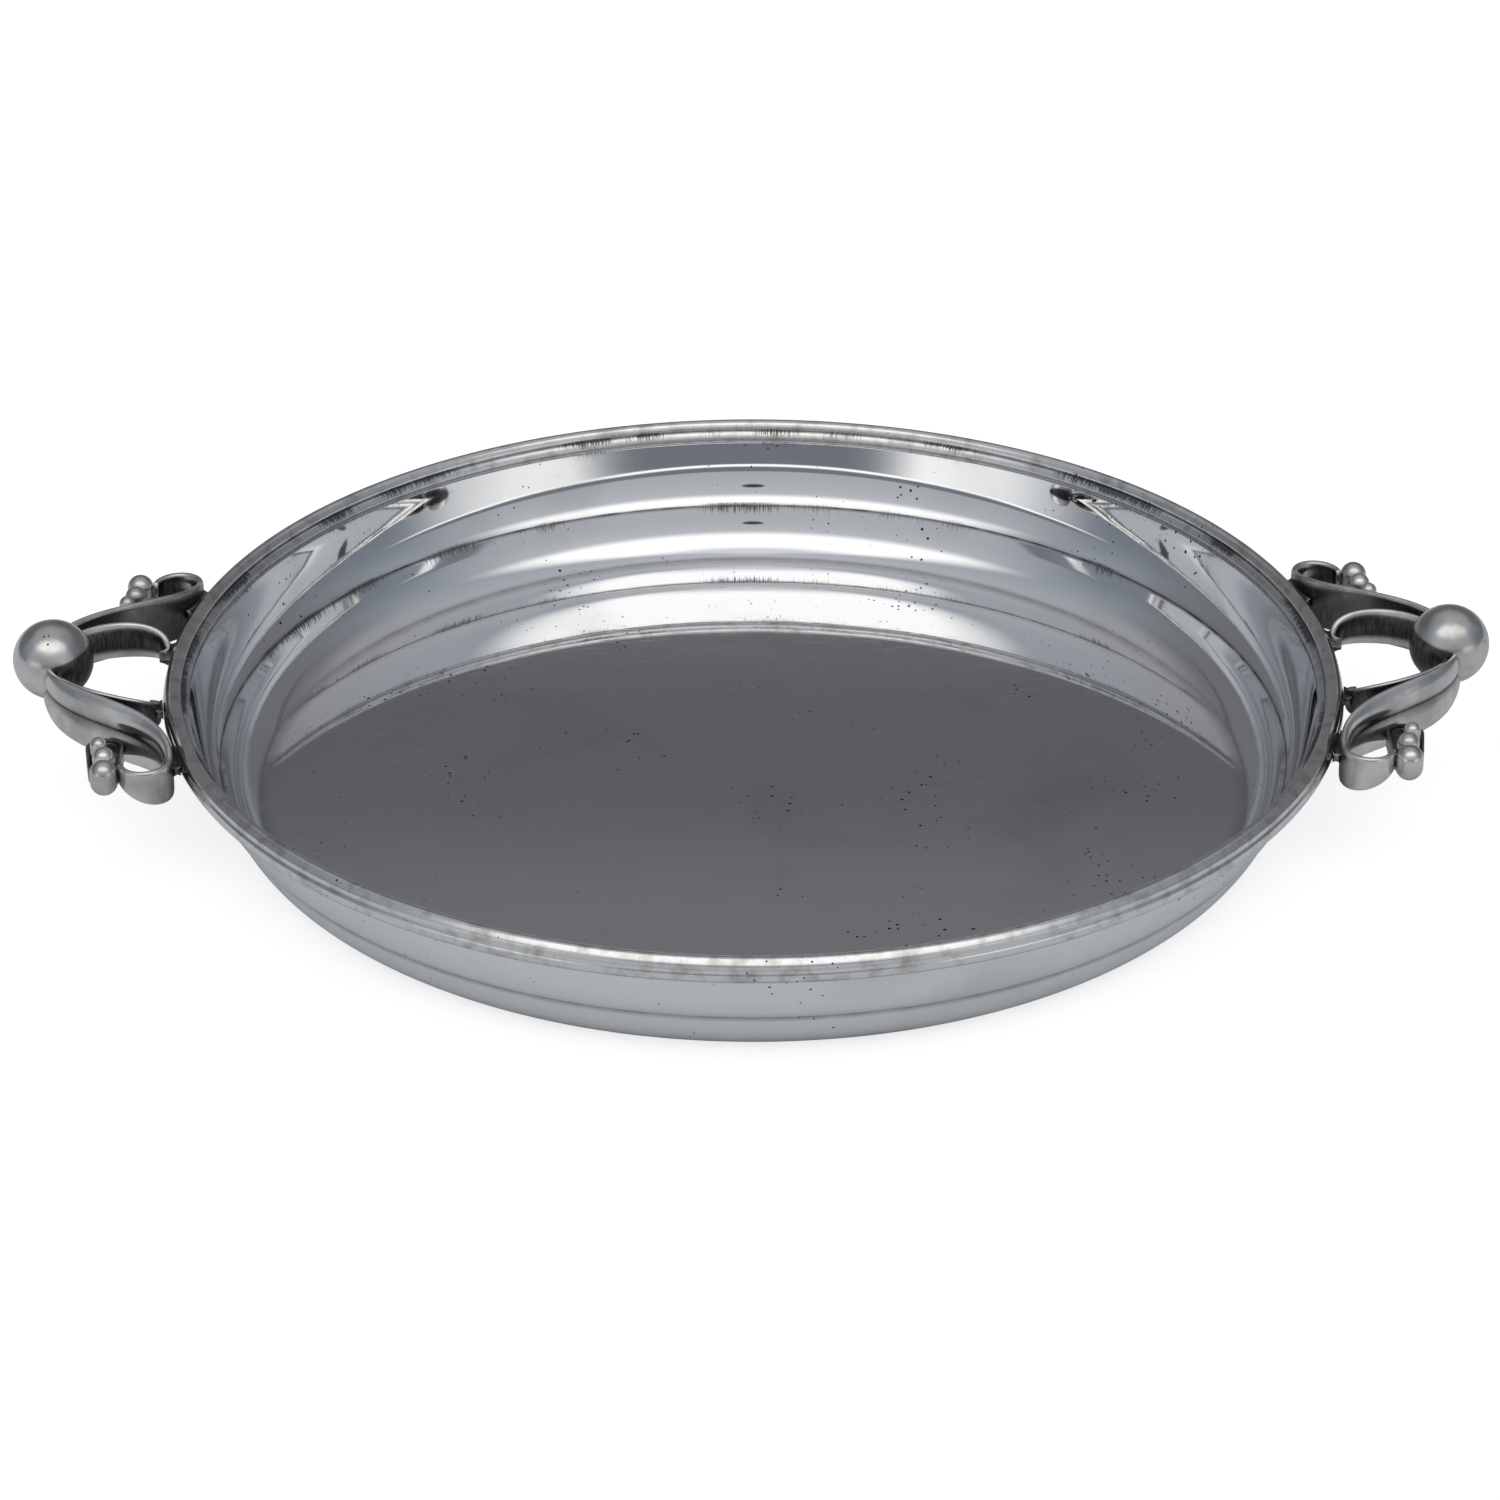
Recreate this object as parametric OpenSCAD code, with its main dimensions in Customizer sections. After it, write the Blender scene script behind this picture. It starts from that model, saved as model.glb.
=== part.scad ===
// Round two-handled serving tray in polished silver.
// A spun dish with a stepped wall carries a reeded rim band. Each handle is built up from bent strips:
// two scrolls and two leaves meet at a ball, and each scroll ends in a volute beside a cup of domed studs.
// The tray stands on its flat underside with the origin at the centre of that face, handles along X.

/* [Dish] */
// Diameter over the rim band
rim_d = 250; // [200:1:320]
// Height from the underside to the top of the rim
tray_h = 29.2; // [26:0.1:42]
// Gauge of the spun sheet
sheet = 1.2; // [0.8:0.1:1.6]
// Radial width of the upper step of the wall
upper_step = 5.9; // [4:0.1:9]
// Radial width of the lower step of the wall
lower_step = 7.9; // [5:0.1:10]
// Height of the ridge between the steps above the underside
ridge_h = 11.3; // [9:0.1:14]
// Radius where the lower step runs into the floor
floor_fillet = 0.9; // [0.5:0.1:2]
// Slope of the lower step at the floor, from upright
cove_foot_angle = 61; // [50:1:70]
// Slope of the lower step at the ridge, from upright
cove_head_angle = 23; // [10:1:30]
// Slope of the upper step at the ridge, from upright
step_foot_angle = 45; // [35:1:60]
// Slope of the upper step under the rim, from upright
step_head_angle = 15; // [0:1:20]

/* [Rim band] */
// Height of the band's outer face and crown
rim_h = 4.9; // [4:0.1:7]
// Radius of the crown along the top of the band
crown_r = 1.7; // [1.3:0.1:2.1]
// Depth from the top of the crown to the line under it
quirk_drop = 2.2; // [1.8:0.1:2.5]
// How far the outer face swells
face_sag = 0.55; // [0.3:0.05:0.8]
// Radius of the small bead inside the crown
bead_r = 1.25; // [0.9:0.05:1.6]
// Direction from the crown to the small bead, below level
bead_angle = 38; // [25:1:50]
// Depth of the rebate that takes the edge of the dish
rebate = 0.6; // [0.3:0.1:1.2]

/* [Ball] */
// Diameter of the ball
ball_d = 17; // [13:0.1:22]
// Distance of the ball's centre outside the rim
ball_reach = 23.3; // [20:0.1:30]
// Height of the ball's centre above the rim
ball_lift = 1.9; // [-2:0.1:4]

/* [Scroll] */
// Thickness of the scroll strip at its edges
scroll_t = 1.3; // [1:0.1:1.8]
// Height of the strip's upper edge above the rim, along its run
scroll_rise = 4.4; // [2:0.1:5]
// Depth of the strip's lower edge below the rim, along its run
scroll_drop = 9.3; // [8:0.1:12]
// How far the lower edge leans outwards halfway along the run
scroll_lean = 1.6; // [0:0.1:2.5]
// How far the two reeds stand out of the strip
reed = 0.7; // [0.3:0.05:1]
// Height of the line between the reeds, as a share of the strip's height
reed_split = 0.55; // [0.4:0.01:0.7]
// Distance of the volute's centre from the handle's axis
volute_out = 40.8; // [37:0.1:48]
// Bend radius of the volute
volute_r = 5; // [4:0.1:6]
// Space between the volute and the rim, on the line through the volute's centre
volute_gap = 1.4; // [1.2:0.1:3]
// Turn of the volute, from the rim round to the tip
volute_turn = 172; // [160:1:180]
// Height of the strip where it enters the volute
volute_h = 8.4; // [7:0.1:10]
// Height of the strip at its tip
tip_h = 4.4; // [3:0.1:5.5]

/* [Leaf] */
// Thickness of the leaf strip at its edges
leaf_t = 1.2; // [0.9:0.1:1.4]
// Height of the leaf at its widest
leaf_h = 9.2; // [7:0.1:10]
// How far the leaf's inner face swells
leaf_swell = 0.8; // [0.3:0.05:1.2]
// Distance of the leaf's foot from the handle's axis
leaf_foot = 13; // [11:0.1:15]
// Space between the leaf's foot and the rim
leaf_gap = 0.5; // [0.4:0.1:2]
// Bend radius of the curl at the leaf's foot
curl_r = 1.3; // [1.2:0.1:2.4]

/* [Studs] */
// Diameter of the large stud
large_d = 5.7; // [4.5:0.1:6.5]
// Diameter of the medium stud
medium_d = 4.7; // [3.5:0.1:5]
// Diameter of the small stud
small_d = 3.6; // [2.5:0.1:3.8]
// Distance from the large stud to the medium one
medium_pitch = 5.6; // [5.6:0.1:7]
// Distance from the medium stud to the small one
small_pitch = 4.6; // [4.4:0.1:6]
// Height of the studs' tops above the rim
stud_lift = 0.3; // [-1:0.1:1]
// Width of the cup round the studs
cup_w = 7.8; // [7.6:0.1:10]
// Wall of the cup
cup_t = 0.8; // [0.6:0.1:1.2]
// Floor of the cup
cup_floor = 0.9; // [0.6:0.1:1.4]
// Depth of the cup's lip below the rim
cup_drop = 3.65; // [3:0.05:6]
// Height of the cup
cup_h = 3.7; // [3:0.1:5.5]

/* [Seams] */
// Solder seam left between pieces
seam = 0.05; // [0.02:0.01:0.1]

/* [Hidden] */
$fn = 144;

// Rim band and dish, worked inwards from the rim
rim_r = rim_d / 2;
rim_foot = tray_h - rim_h;
face_half = (rim_h - quirk_drop) / 2;
face_rad = (face_half * face_half + face_sag * face_sag) / (2 * face_sag);
face_mid = [rim_r - face_rad, rim_foot + face_half];
face_half_angle = asin(face_half / face_rad);
quirk_below = quirk_drop - crown_r;
crown_half = sqrt(crown_r * crown_r - quirk_below * quirk_below);
crown_mid = [rim_r - face_sag - crown_half, tray_h - crown_r];
bead_overlap = 0.5;
bead_dist = crown_r + bead_r - bead_overlap;
bead_mid = crown_mid - bead_dist * [cos(bead_angle), sin(bead_angle)];
wall_r = bead_mid[0] - bead_r;
wall_top = rim_foot + rebate - seam;
ridge_r = wall_r - upper_step;
floor_r = ridge_r - lower_step;
fillet_mid = [floor_r, sheet + floor_fillet];
step_foot_pull = 0.16;
step_head_pull = 0.73;
cove_foot_pull = 0.485;
cove_head_pull = 0.31;
arc_steps = 14;
fillet_steps = 5;

// Handle, worked from the ball and the volute, heights counted from the underside
ball_r = ball_d / 2;
ball_x = rim_r + ball_reach;
ball_z = tray_h + ball_lift;
volute_dist = rim_r + volute_gap + scroll_t / 2 + volute_r;
volute_mid = [sqrt(volute_dist * volute_dist - volute_out * volute_out), volute_out];
bow_lead = 0.9;
bow_start = 2.2;
bow_spring = 0.5;
bow_pull = (volute_out - bow_start) / 2 + bow_spring;
root_rise = 0.19;
root_drop = 0.91;
root_top = ball_z + root_rise * ball_r;
root_foot = ball_z - root_drop * ball_r;
volute_sink = 0.3;
tip_sink = 0.9;
volute_top = tray_h - volute_sink;
tip_top = tray_h - tip_sink;
scroll_top = tray_h + scroll_rise;
scroll_foot = tray_h - scroll_drop;
taper_delay = 1.5;
bow_steps = 18;
turn_steps = 14;
strip_bevel = 0.25;
reed_steps = 5;

leaf_place = 0.08;
leaf_spread = 8;
leaf_pull = 12;
leaf_foot_x = sqrt(pow(rim_r + leaf_gap + leaf_t / 2, 2) - leaf_foot * leaf_foot);
leaf_root_rise = 2.2;
leaf_lead_rise = 3.2;
leaf_foot_sink = 2;
leaf_fall = 7.5;
leaf_root_share = 0.73;
leaf_foot_share = 0.5;
curl_tip_share = 0.3;
curl_sink = 0.5;
leaf_foot_top = tray_h - leaf_foot_sink;
leaf_foot_h = leaf_foot_share * leaf_h;
curl_sweep = 105;
leaf_steps = 14;
curl_steps = 6;
swell_steps = 6;

// Studs and cup, set out along a row from the scroll to the large stud
stud_top = tray_h + stud_lift;
cup_r = cup_w / 2;
cup_top = tray_h - cup_drop;
cup_foot = cup_top - cup_h;
cup_place = 0.58;
stud_angle = 12;
large_reach = volute_r + scroll_t / 2 + seam + large_d / 2;
large_at = volute_mid + large_reach * [cos(stud_angle), sin(stud_angle)];
small_side = 1;
stud_room = 0.25;
mouth_gap = 0.5;
mouth_tuck = 0.25;
waist_r = medium_d / 2 + stud_room + cup_t;
mouth_r = large_d / 2 - mouth_tuck;
cup_lean_share = 0.75;
sill_share = 0.7;

// Solder lugs on the rim's outer face
lug_foot = 0.3;
lug_head = 0.1;
lug_z = rim_foot + lug_foot;
lug_h = 2 * face_half - lug_foot - lug_head;
scroll_lug_r = 5;
leaf_lug_r = 3;
scroll_lug_place = 0.88;
lug_turn = 3;
volute_core = 0.5;
curl_core = 0.3;

SIDES = ["right", "left"];
ENDS = ["front", "back"];
PIECES = ["scroll", "leaf", "cup", "large_stud", "medium_stud", "small_stud", "scroll_lug", "leaf_lug"];

// Plane curves
function mix(a, b, t) = a + (b - a) * t;
function ease(t) = t * t * (3 - 2 * t);
function unit(v) = v / norm(v);
function right_of(d) = [d[1], -d[0]];
function turned(c, r, a) = c + r * [cos(a), sin(a)];
function rest(list) = [for (i = [1 : len(list) - 1]) list[i]];
function back(list) = [for (i = [len(list) - 1 : -1 : 0]) list[i]];
function arc(c, r, a0, a1, n = arc_steps) = [for (i = [0 : n]) turned(c, r, mix(a0, a1, i / n))];
function bezier(p, t) =
    pow(1 - t, 3) * p[0] + 3 * t * pow(1 - t, 2) * p[1] + 3 * t * t * (1 - t) * p[2] + pow(t, 3) * p[3];
function bezier_way(p, t) =
    unit(pow(1 - t, 2) * (p[1] - p[0]) + 2 * t * (1 - t) * (p[2] - p[1]) + t * t * (p[3] - p[2]));

// Angle on the first circle where the second one crosses it, on the side given by sign
function crossing(c1, r1, c2, r2, sign) =
    let (v = c2 - c1, d = norm(v))
    atan2(v[1], v[0]) + sign * acos((r1 * r1 + d * d - r2 * r2) / (2 * r1 * d));

// Directions in a section, counted from upright and leaning outwards
function leaning_out(a) = [sin(a), cos(a)];

// A step of the wall as a cubic curve, with its slope at both ends and its pulls as shares of the chord
function step_curve(foot, head, foot_angle, head_angle, foot_pull, head_pull) =
    let (chord = norm(head - foot))
    [
        foot,
        foot + foot_pull * chord * leaning_out(foot_angle),
        head - head_pull * chord * leaning_out(head_angle),
        head
    ];
function inside(curve) = [for (i = [0 : arc_steps]) bezier(curve, i / arc_steps)];
function outside(curve) = [
    for (i = [0 : arc_steps])
        let (t = i / arc_steps)
        bezier(curve, t) + sheet * right_of(bezier_way(curve, t))
];

ridge = [ridge_r, ridge_h];
cove_foot = turned(fillet_mid, floor_fillet, -cove_foot_angle);
cove_curve = step_curve(cove_foot, ridge, cove_foot_angle, cove_head_angle, cove_foot_pull, cove_head_pull);
upper_curve = step_curve(
    ridge, [wall_r, wall_top], step_foot_angle, step_head_angle, step_foot_pull, step_head_pull
);

// The two steps' outsides meet in a mitre behind the ridge
mitre_way = leaning_out((step_foot_angle + cove_head_angle) / 2);
mitre = ridge + sheet / cos((step_foot_angle - cove_head_angle) / 2) * right_of(mitre_way);
cove_outside = [for (p = outside(cove_curve)) if ((p - mitre) * mitre_way < 0) p];
upper_outside = [for (p = outside(upper_curve)) if ((p - mitre) * mitre_way > 0) [p[0], min(p[1], wall_top)]];

// Section of the dish: floor, fillet, cove, ridge and upper step, inside then outside
dish_section = concat(
    [[0, sheet]],
    arc(fillet_mid, floor_fillet, -90, -cove_foot_angle, fillet_steps),
    rest(inside(cove_curve)),
    rest(inside(upper_curve)),
    back(upper_outside),
    [mitre],
    back(cove_outside),
    rest(arc(fillet_mid, floor_fillet + sheet, -cove_foot_angle, -90, fillet_steps)),
    [[0, 0]]
);

module tray_body() {
    color("gainsboro")
        rotate_extrude()
            polygon(dish_section);
}

// Section of the rim band: swelling face, crown, small inner bead and the rebate over the dish's edge
crown_cut = crossing(crown_mid, crown_r, bead_mid, bead_r, -1);
bead_cut = crossing(bead_mid, bead_r, crown_mid, crown_r, 1);
rebate_r = wall_r + sheet + seam;
band_section = concat(
    arc(face_mid, face_rad, -face_half_angle, face_half_angle),
    rest(arc(crown_mid, crown_r, -asin(quirk_below / crown_r), crown_cut + 360)),
    rest(arc(bead_mid, bead_r, bead_cut, 180)),
    [[wall_r, rim_foot + rebate], [rebate_r, rim_foot + rebate], [rebate_r, rim_foot]]
);

module rim_band() {
    color("silver")
        rotate_extrude()
            polygon(band_section);
}

module ball() {
    color("lightgray")
        translate([ball_x, 0, ball_z])
            sphere(r = ball_r);
}

module ball_space() {
    translate([ball_x, 0, ball_z])
        sphere(r = ball_r + seam);
}

// A strip is a row of stations [middle, way, top, height, relief, lean]; a section is carried along them
function place(st, q) =
    let (p = st[0] + q[0] * right_of(st[1]))
    [p[0], p[1], st[2] - st[3] + q[1]];

module strip(stations, sections) {
    n = len(sections[0]);
    last = len(stations) - 1;
    points = [for (i = [0 : last]) each [for (q = sections[i]) place(stations[i], q)]];
    sides = [
        for (i = [0 : last - 1], j = [0 : n - 1])
            let (a = i * n + j, b = i * n + (j + 1) % n)
            each [[a, a + n, b], [b, a + n, b + n]]
    ];
    start = [[for (j = [0 : n - 1]) j]];
    finish = [[for (j = [n - 1 : -1 : 0]) last * n + j]];
    polyhedron(points, concat(start, sides, finish), convexity = 6);
}

// Scroll: a bow from the ball to the rim and half a turn of volute that tapers to its tip
volute_side = volute_mid - [volute_r, 0];
bow_curve = [
    [ball_x + bow_lead, bow_start, root_top, root_top - root_foot],
    [ball_x + bow_lead, bow_start + bow_pull, scroll_top, scroll_top - scroll_foot],
    [volute_side[0], volute_out - bow_pull, scroll_top, scroll_top - scroll_foot],
    [volute_side[0], volute_out, volute_top, volute_h]
];
function flat(p) = [p[0], p[1]];
function bow_at(t) = flat(bezier(bow_curve, t));
function bow_way(t) = unit(flat(bezier_way(bow_curve, t)));
function bow_lean(t) = scroll_lean * pow(sin(180 * t), 2);
scroll_stations = concat(
    [
        for (i = [0 : bow_steps - 1])
            let (t = i / bow_steps, p = bezier(bow_curve, t))
            [bow_at(t), bow_way(t), p[2], p[3], 1, bow_lean(t)]
    ],
    [
        for (i = [0 : turn_steps])
            let (t = i / turn_steps, a = 180 - volute_turn * t)
            [
                turned(volute_mid, volute_r, a),
                [sin(a), -cos(a)],
                mix(volute_top, tip_top, t),
                mix(volute_h, tip_h, ease(pow(t, taper_delay))),
                1 - t,
                0
            ]
    ]
);

// Section of the scroll strip: plain inner face, bevelled edges and two reeds on the outer face
function leaning(q, h, lean) = [q[0] + lean * (1 - q[1] / h), q[1]];
function scroll_section(h, relief) =
    let (
        e = strip_bevel,
        s = scroll_t / 2,
        valley = mix(e, h - e, reed_split),
        rise = reed * relief
    )
    concat(
        [[-s, e], [-s, h - e], [e - s, h], [s - e, h]],
        [for (k = [0 : reed_steps]) [s + rise * sin(180 * k / reed_steps), mix(h - e, valley, k / reed_steps)]],
        [for (k = [1 : reed_steps]) [s + rise * sin(180 * k / reed_steps), mix(valley, e, k / reed_steps)]],
        [[s - e, 0], [e - s, 0]]
    );

module scroll() {
    color("darkgray")
        difference() {
            strip(
                scroll_stations,
                [for (st = scroll_stations) [for (q = scroll_section(st[3], st[4])) leaning(q, st[3], st[5])]]
            );
            ball_space();
        }
}

// Leaf: an arch that leaves the scroll's inner face at the ball and ends in a small curl at the rim
leaf_start = bow_at(leaf_place) - (scroll_t / 2 + leaf_t / 2 + seam) * right_of(bow_way(leaf_place));
leaf_heading = atan2(bow_way(leaf_place)[1], bow_way(leaf_place)[0]) + leaf_spread;
leaf_lead = turned(leaf_start, leaf_pull, leaf_heading);
leaf_curve = [
    [leaf_start[0], leaf_start[1], tray_h + leaf_root_rise, leaf_root_share * leaf_h],
    [leaf_lead[0], leaf_lead[1], tray_h + leaf_lead_rise, leaf_h],
    [leaf_foot_x, leaf_foot + leaf_fall, tray_h + leaf_root_rise, leaf_h],
    [leaf_foot_x, leaf_foot, leaf_foot_top, leaf_foot_h]
];
curl_mid = [leaf_foot_x + curl_r, leaf_foot];
leaf_stations = concat(
    [
        for (i = [0 : leaf_steps - 1])
            let (t = i / leaf_steps, p = bezier(leaf_curve, t))
            [flat(p), unit(flat(bezier_way(leaf_curve, t))), p[2], p[3], 1]
    ],
    [
        for (i = [0 : curl_steps])
            let (t = i / curl_steps, a = 180 + curl_sweep * t)
            [
                turned(curl_mid, curl_r, a),
                [-sin(a), cos(a)],
                leaf_foot_top - curl_sink * t,
                mix(leaf_foot_h, curl_tip_share * leaf_h, ease(t)),
                1 - t
            ]
    ]
);

// Section of the leaf strip: plain outer face, bevelled edges and a swelling inner face
function leaf_section(h, relief) =
    let (e = strip_bevel, s = leaf_t / 2, rise = leaf_swell * relief)
    concat(
        [[e - s, 0]],
        [for (k = [0 : swell_steps]) [-s - rise * sin(180 * k / swell_steps), mix(e, h - e, k / swell_steps)]],
        [[e - s, h], [s - e, h], [s, h - e], [s, e], [s - e, 0]]
    );

module leaf() {
    color("darkgray")
        difference() {
            strip(leaf_stations, [for (st = leaf_stations) leaf_section(st[3], st[4])]);
            ball_space();
        }
}

// Row of studs, from the closed end of the cup at the scroll to the large stud beside the volute
cup_lean = cup_lean_share * bow_lean(cup_place);
cup_off = scroll_t / 2 + reed + cup_lean + seam + cup_r;
cup_at = bow_at(cup_place) + cup_off * right_of(bow_way(cup_place));
row_way = unit(large_at - cup_at);
row_len = norm(large_at - cup_at);
cup_len = row_len - large_d / 2 - mouth_gap;
waist_at = row_len - medium_pitch;
sill_w = sill_share * large_d;
medium_at = large_at - medium_pitch * row_way;
small_at = medium_at - small_pitch * row_way + small_side * right_of(row_way);
stud_foot = cup_foot + cup_floor + seam;

module domed_post(d, foot) {
    translate([0, 0, foot])
        cylinder(d = d, h = stud_top - d / 2 - foot);
    translate([0, 0, stud_top - d / 2])
        sphere(d = d);
}

module large_stud() {
    color("lightgray")
        translate(large_at) {
            domed_post(large_d, cup_foot + large_d / 2);
            translate([0, 0, cup_foot + large_d / 2])
                sphere(d = large_d);
        }
}

module medium_stud() {
    color("lightgray")
        translate(medium_at)
            domed_post(medium_d, stud_foot);
}

module small_stud() {
    color("lightgray")
        translate(small_at)
            domed_post(small_d, stud_foot);
}

// Plan of the cup: a round end at the scroll, a waist at the medium stud and a mouth behind the large one
module cup_plan(inset, long) {
    r = cup_r - inset;
    waist = waist_r - inset;
    mouth = mix(waist_r, mouth_r, (long - waist_at) / (cup_len - waist_at)) - inset;
    circle(r = r);
    polygon([[0, -r], [waist_at, -waist], [long, -mouth], [long, mouth], [waist_at, waist], [0, r]]);
}

module cup() {
    color("dimgray")
        difference() {
            translate([cup_at[0], cup_at[1], cup_foot])
                rotate(atan2(row_way[1], row_way[0])) {
                    difference() {
                        linear_extrude(cup_h)
                            cup_plan(0, cup_len);
                        translate([0, 0, cup_floor])
                            linear_extrude(cup_h)
                                cup_plan(cup_t, cup_len + mouth_gap);
                    }
                    translate([0, -sill_w / 2, 0])
                        cube([row_len, sill_w, cup_floor]);
                }
            translate([large_at[0], large_at[1], cup_foot - cup_floor])
                cylinder(d = large_d + 2 * seam, h = cup_h);
        }
}

// Solder lugs: pads between the rim's face and the nearest strip, cut to both
module rim_face_space() {
    rotate_extrude($fn = 720)
        translate(face_mid)
            circle(r = face_rad + seam);
}

module strip_plan(stations, near, far) {
    polygon(concat(
        [for (st = stations) st[0] + near * right_of(st[1])],
        [for (i = [len(stations) - 1 : -1 : 0]) stations[i][0] + far * right_of(stations[i][1])]
    ));
}

module lug(at, r) {
    difference() {
        translate([0, 0, lug_z])
            linear_extrude(lug_h)
                difference() {
                    translate(at)
                        circle(r = r);
                    circle(r = face_mid[0]);
                    children();
                }
        rim_face_space();
    }
}

bow_end = [for (i = [floor(bow_steps / 2) : bow_steps + turn_steps - lug_turn]) scroll_stations[i]];
scroll_lug_at = rim_r * unit(bow_at(scroll_lug_place));
leaf_end = [for (i = [floor(leaf_steps / 2) : leaf_steps + lug_turn]) leaf_stations[i]];
leaf_lug_at = rim_r * unit([leaf_foot_x, leaf_foot]);

module scroll_lug() {
    color("dimgray")
        lug(scroll_lug_at, scroll_lug_r)
            strip_plan(bow_end, -scroll_t / 2 - seam, volute_r - volute_core);
}

module leaf_lug() {
    color("dimgray")
        lug(leaf_lug_at, leaf_lug_r)
            strip_plan(leaf_end, leaf_t / 2 + seam, curl_core - curl_r);
}

// The right back quarter is drawn above; the others are its mirror and half-turn copies
module quarter(side, end) {
    turn = side == "left" ? 180 : 0;
    flip = (side == "right") == (end == "front");
    rotate(turn)
        mirror([0, flip ? 1 : 0, 0])
            children();
}

tray_body();
rim_band();
for (s = SIDES) {
    rotate(s == "left" ? 180 : 0) ball();
}
for (s = SIDES, e = ENDS) {
    name = str(s, "_", e, "_");
    quarter(s, e) scroll();
    quarter(s, e) leaf();
    quarter(s, e) cup();
    quarter(s, e) large_stud();
    quarter(s, e) medium_stud();
    quarter(s, e) small_stud();
    quarter(s, e) scroll_lug();
    quarter(s, e) leaf_lug();
}
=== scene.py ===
"""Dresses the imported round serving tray: spun dish, reeded rim band and two cast handles in silver.

Sizes in the classes are millimetres and angles degrees. Mesh points are metres in the part's own frame:
the underside lies on Z = 0, the handles stand along X and the centre of the dish is the origin.
"""

import logging
from dataclasses import dataclass, field
from enum import Enum

import bpy
import numpy as np
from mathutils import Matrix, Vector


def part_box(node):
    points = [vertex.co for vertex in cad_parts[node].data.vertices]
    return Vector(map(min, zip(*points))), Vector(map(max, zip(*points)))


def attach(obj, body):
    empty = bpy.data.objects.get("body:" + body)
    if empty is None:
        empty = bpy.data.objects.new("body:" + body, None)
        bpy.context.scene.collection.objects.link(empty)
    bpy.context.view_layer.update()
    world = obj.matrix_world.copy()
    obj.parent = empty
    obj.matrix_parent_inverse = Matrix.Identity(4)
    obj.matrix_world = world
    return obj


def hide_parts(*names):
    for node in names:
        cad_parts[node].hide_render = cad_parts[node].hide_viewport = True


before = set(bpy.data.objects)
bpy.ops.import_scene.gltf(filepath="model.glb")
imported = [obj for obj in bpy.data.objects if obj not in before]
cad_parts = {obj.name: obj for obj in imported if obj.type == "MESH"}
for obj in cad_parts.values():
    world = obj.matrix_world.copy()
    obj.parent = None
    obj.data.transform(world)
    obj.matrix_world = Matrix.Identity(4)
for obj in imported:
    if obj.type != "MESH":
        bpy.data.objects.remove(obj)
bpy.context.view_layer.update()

log = logging.getLogger("tray")
Array = np.ndarray
Faces = list[list[int]]
Range = tuple[float, float]
Piece = bpy.types.Object
Tree = bpy.types.NodeTree
Socket = bpy.types.NodeSocket
MM = 0.001


class Slot(Enum):
    """The record's material slots."""

    POLISHED = "polished_silver"
    SATIN = "satin_silver"
    DARK = "dark_silver"


class Side(Enum):
    """Which handle a piece belongs to; the value is its sign along X."""

    RIGHT = 1
    LEFT = -1


class End(Enum):
    """Which half of a handle a piece belongs to; the value is its sign along Y."""

    BACK = 1
    FRONT = -1


@dataclass(frozen=True)
class Place:
    """One of the four mirrored quarters of the handles."""

    side: Side
    end: End

    @property
    def name(self) -> str:
        """Prefix of the quarter's nodes, such as right_back."""
        return f"{self.side.name}_{self.end.name}".lower()

    def put(self, points: Array) -> Array:
        """Points of the right back quarter, mirrored into this one."""
        return points * np.array([self.side.value, self.end.value, 1])

    def turned(self, faces: Faces) -> Faces:
        """Faces in outward order after the mirroring."""
        return faces if self.side.value * self.end.value > 0 else [face[::-1] for face in faces]


PLACES = [Place(side, end) for side in Side for end in End]


def mix(a: Array | float, b: Array | float, t: Array | float) -> Array | float:
    """Value a share t of the way from a to b."""
    return a + (b - a) * t


def ease(t: Array) -> Array:
    """Smooth step from 0 to 1 with level ends, 3t squared less 2t cubed, and 0 or 1 beyond them."""
    t = np.clip(t, 0, 1)
    return t * t * (3 - 2 * t)


def hump(t: Array | float) -> Array:
    """Squared half sine: 0 at both ends and 1 halfway."""
    return np.sin(np.pi * np.asarray(t)) ** 2


def ring(angle: Array | float) -> Array:
    """Points (cos, sin) of the unit circle at angles in degrees, the last axis holding the pair."""
    turn = np.radians(angle)
    return np.stack([np.cos(turn), np.sin(turn)], axis=-1)


def arc(mid: Array, radius: float, start: float, stop: float, count: int = 40) -> Array:
    """Points along a circle, one to a row, from one angle to another."""
    return mid + radius * ring(np.linspace(start, stop, count))


def towards(turn: float, up: float) -> Array:
    """Unit vector from the tray to a place that is turned from the front and raised by these angles."""
    turn, up = np.radians([turn, up])
    return np.array([np.sin(turn) * np.cos(up), -np.cos(turn) * np.cos(up), np.sin(up)])


def right_of(way: Array) -> Array:
    """Plan direction a quarter turn clockwise from each way."""
    return np.stack([way[..., 1], -way[..., 0]], axis=-1)


def unit(vector: Array) -> Array:
    """Vectors of length one along the last axis."""
    return vector / np.linalg.norm(vector, axis=-1, keepdims=True)


def bezier(points: Array, t: Array | float) -> Array:
    """Cubic curve through its end points: the four points weighted by (1-t)^3, 3t(1-t)^2, 3t^2(1-t), t^3.

    Args:
        points: Four control points, one to a row, with any number of values each.
        t: Places along the curve, 0 to 1.

    Returns:
        Values of the curve, a row for each place.
    """
    t = np.atleast_1d(t)
    weights = np.stack([(1 - t) ** 3, 3 * t * (1 - t) ** 2, 3 * t * t * (1 - t), t**3], axis=-1)
    return weights @ points


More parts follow.
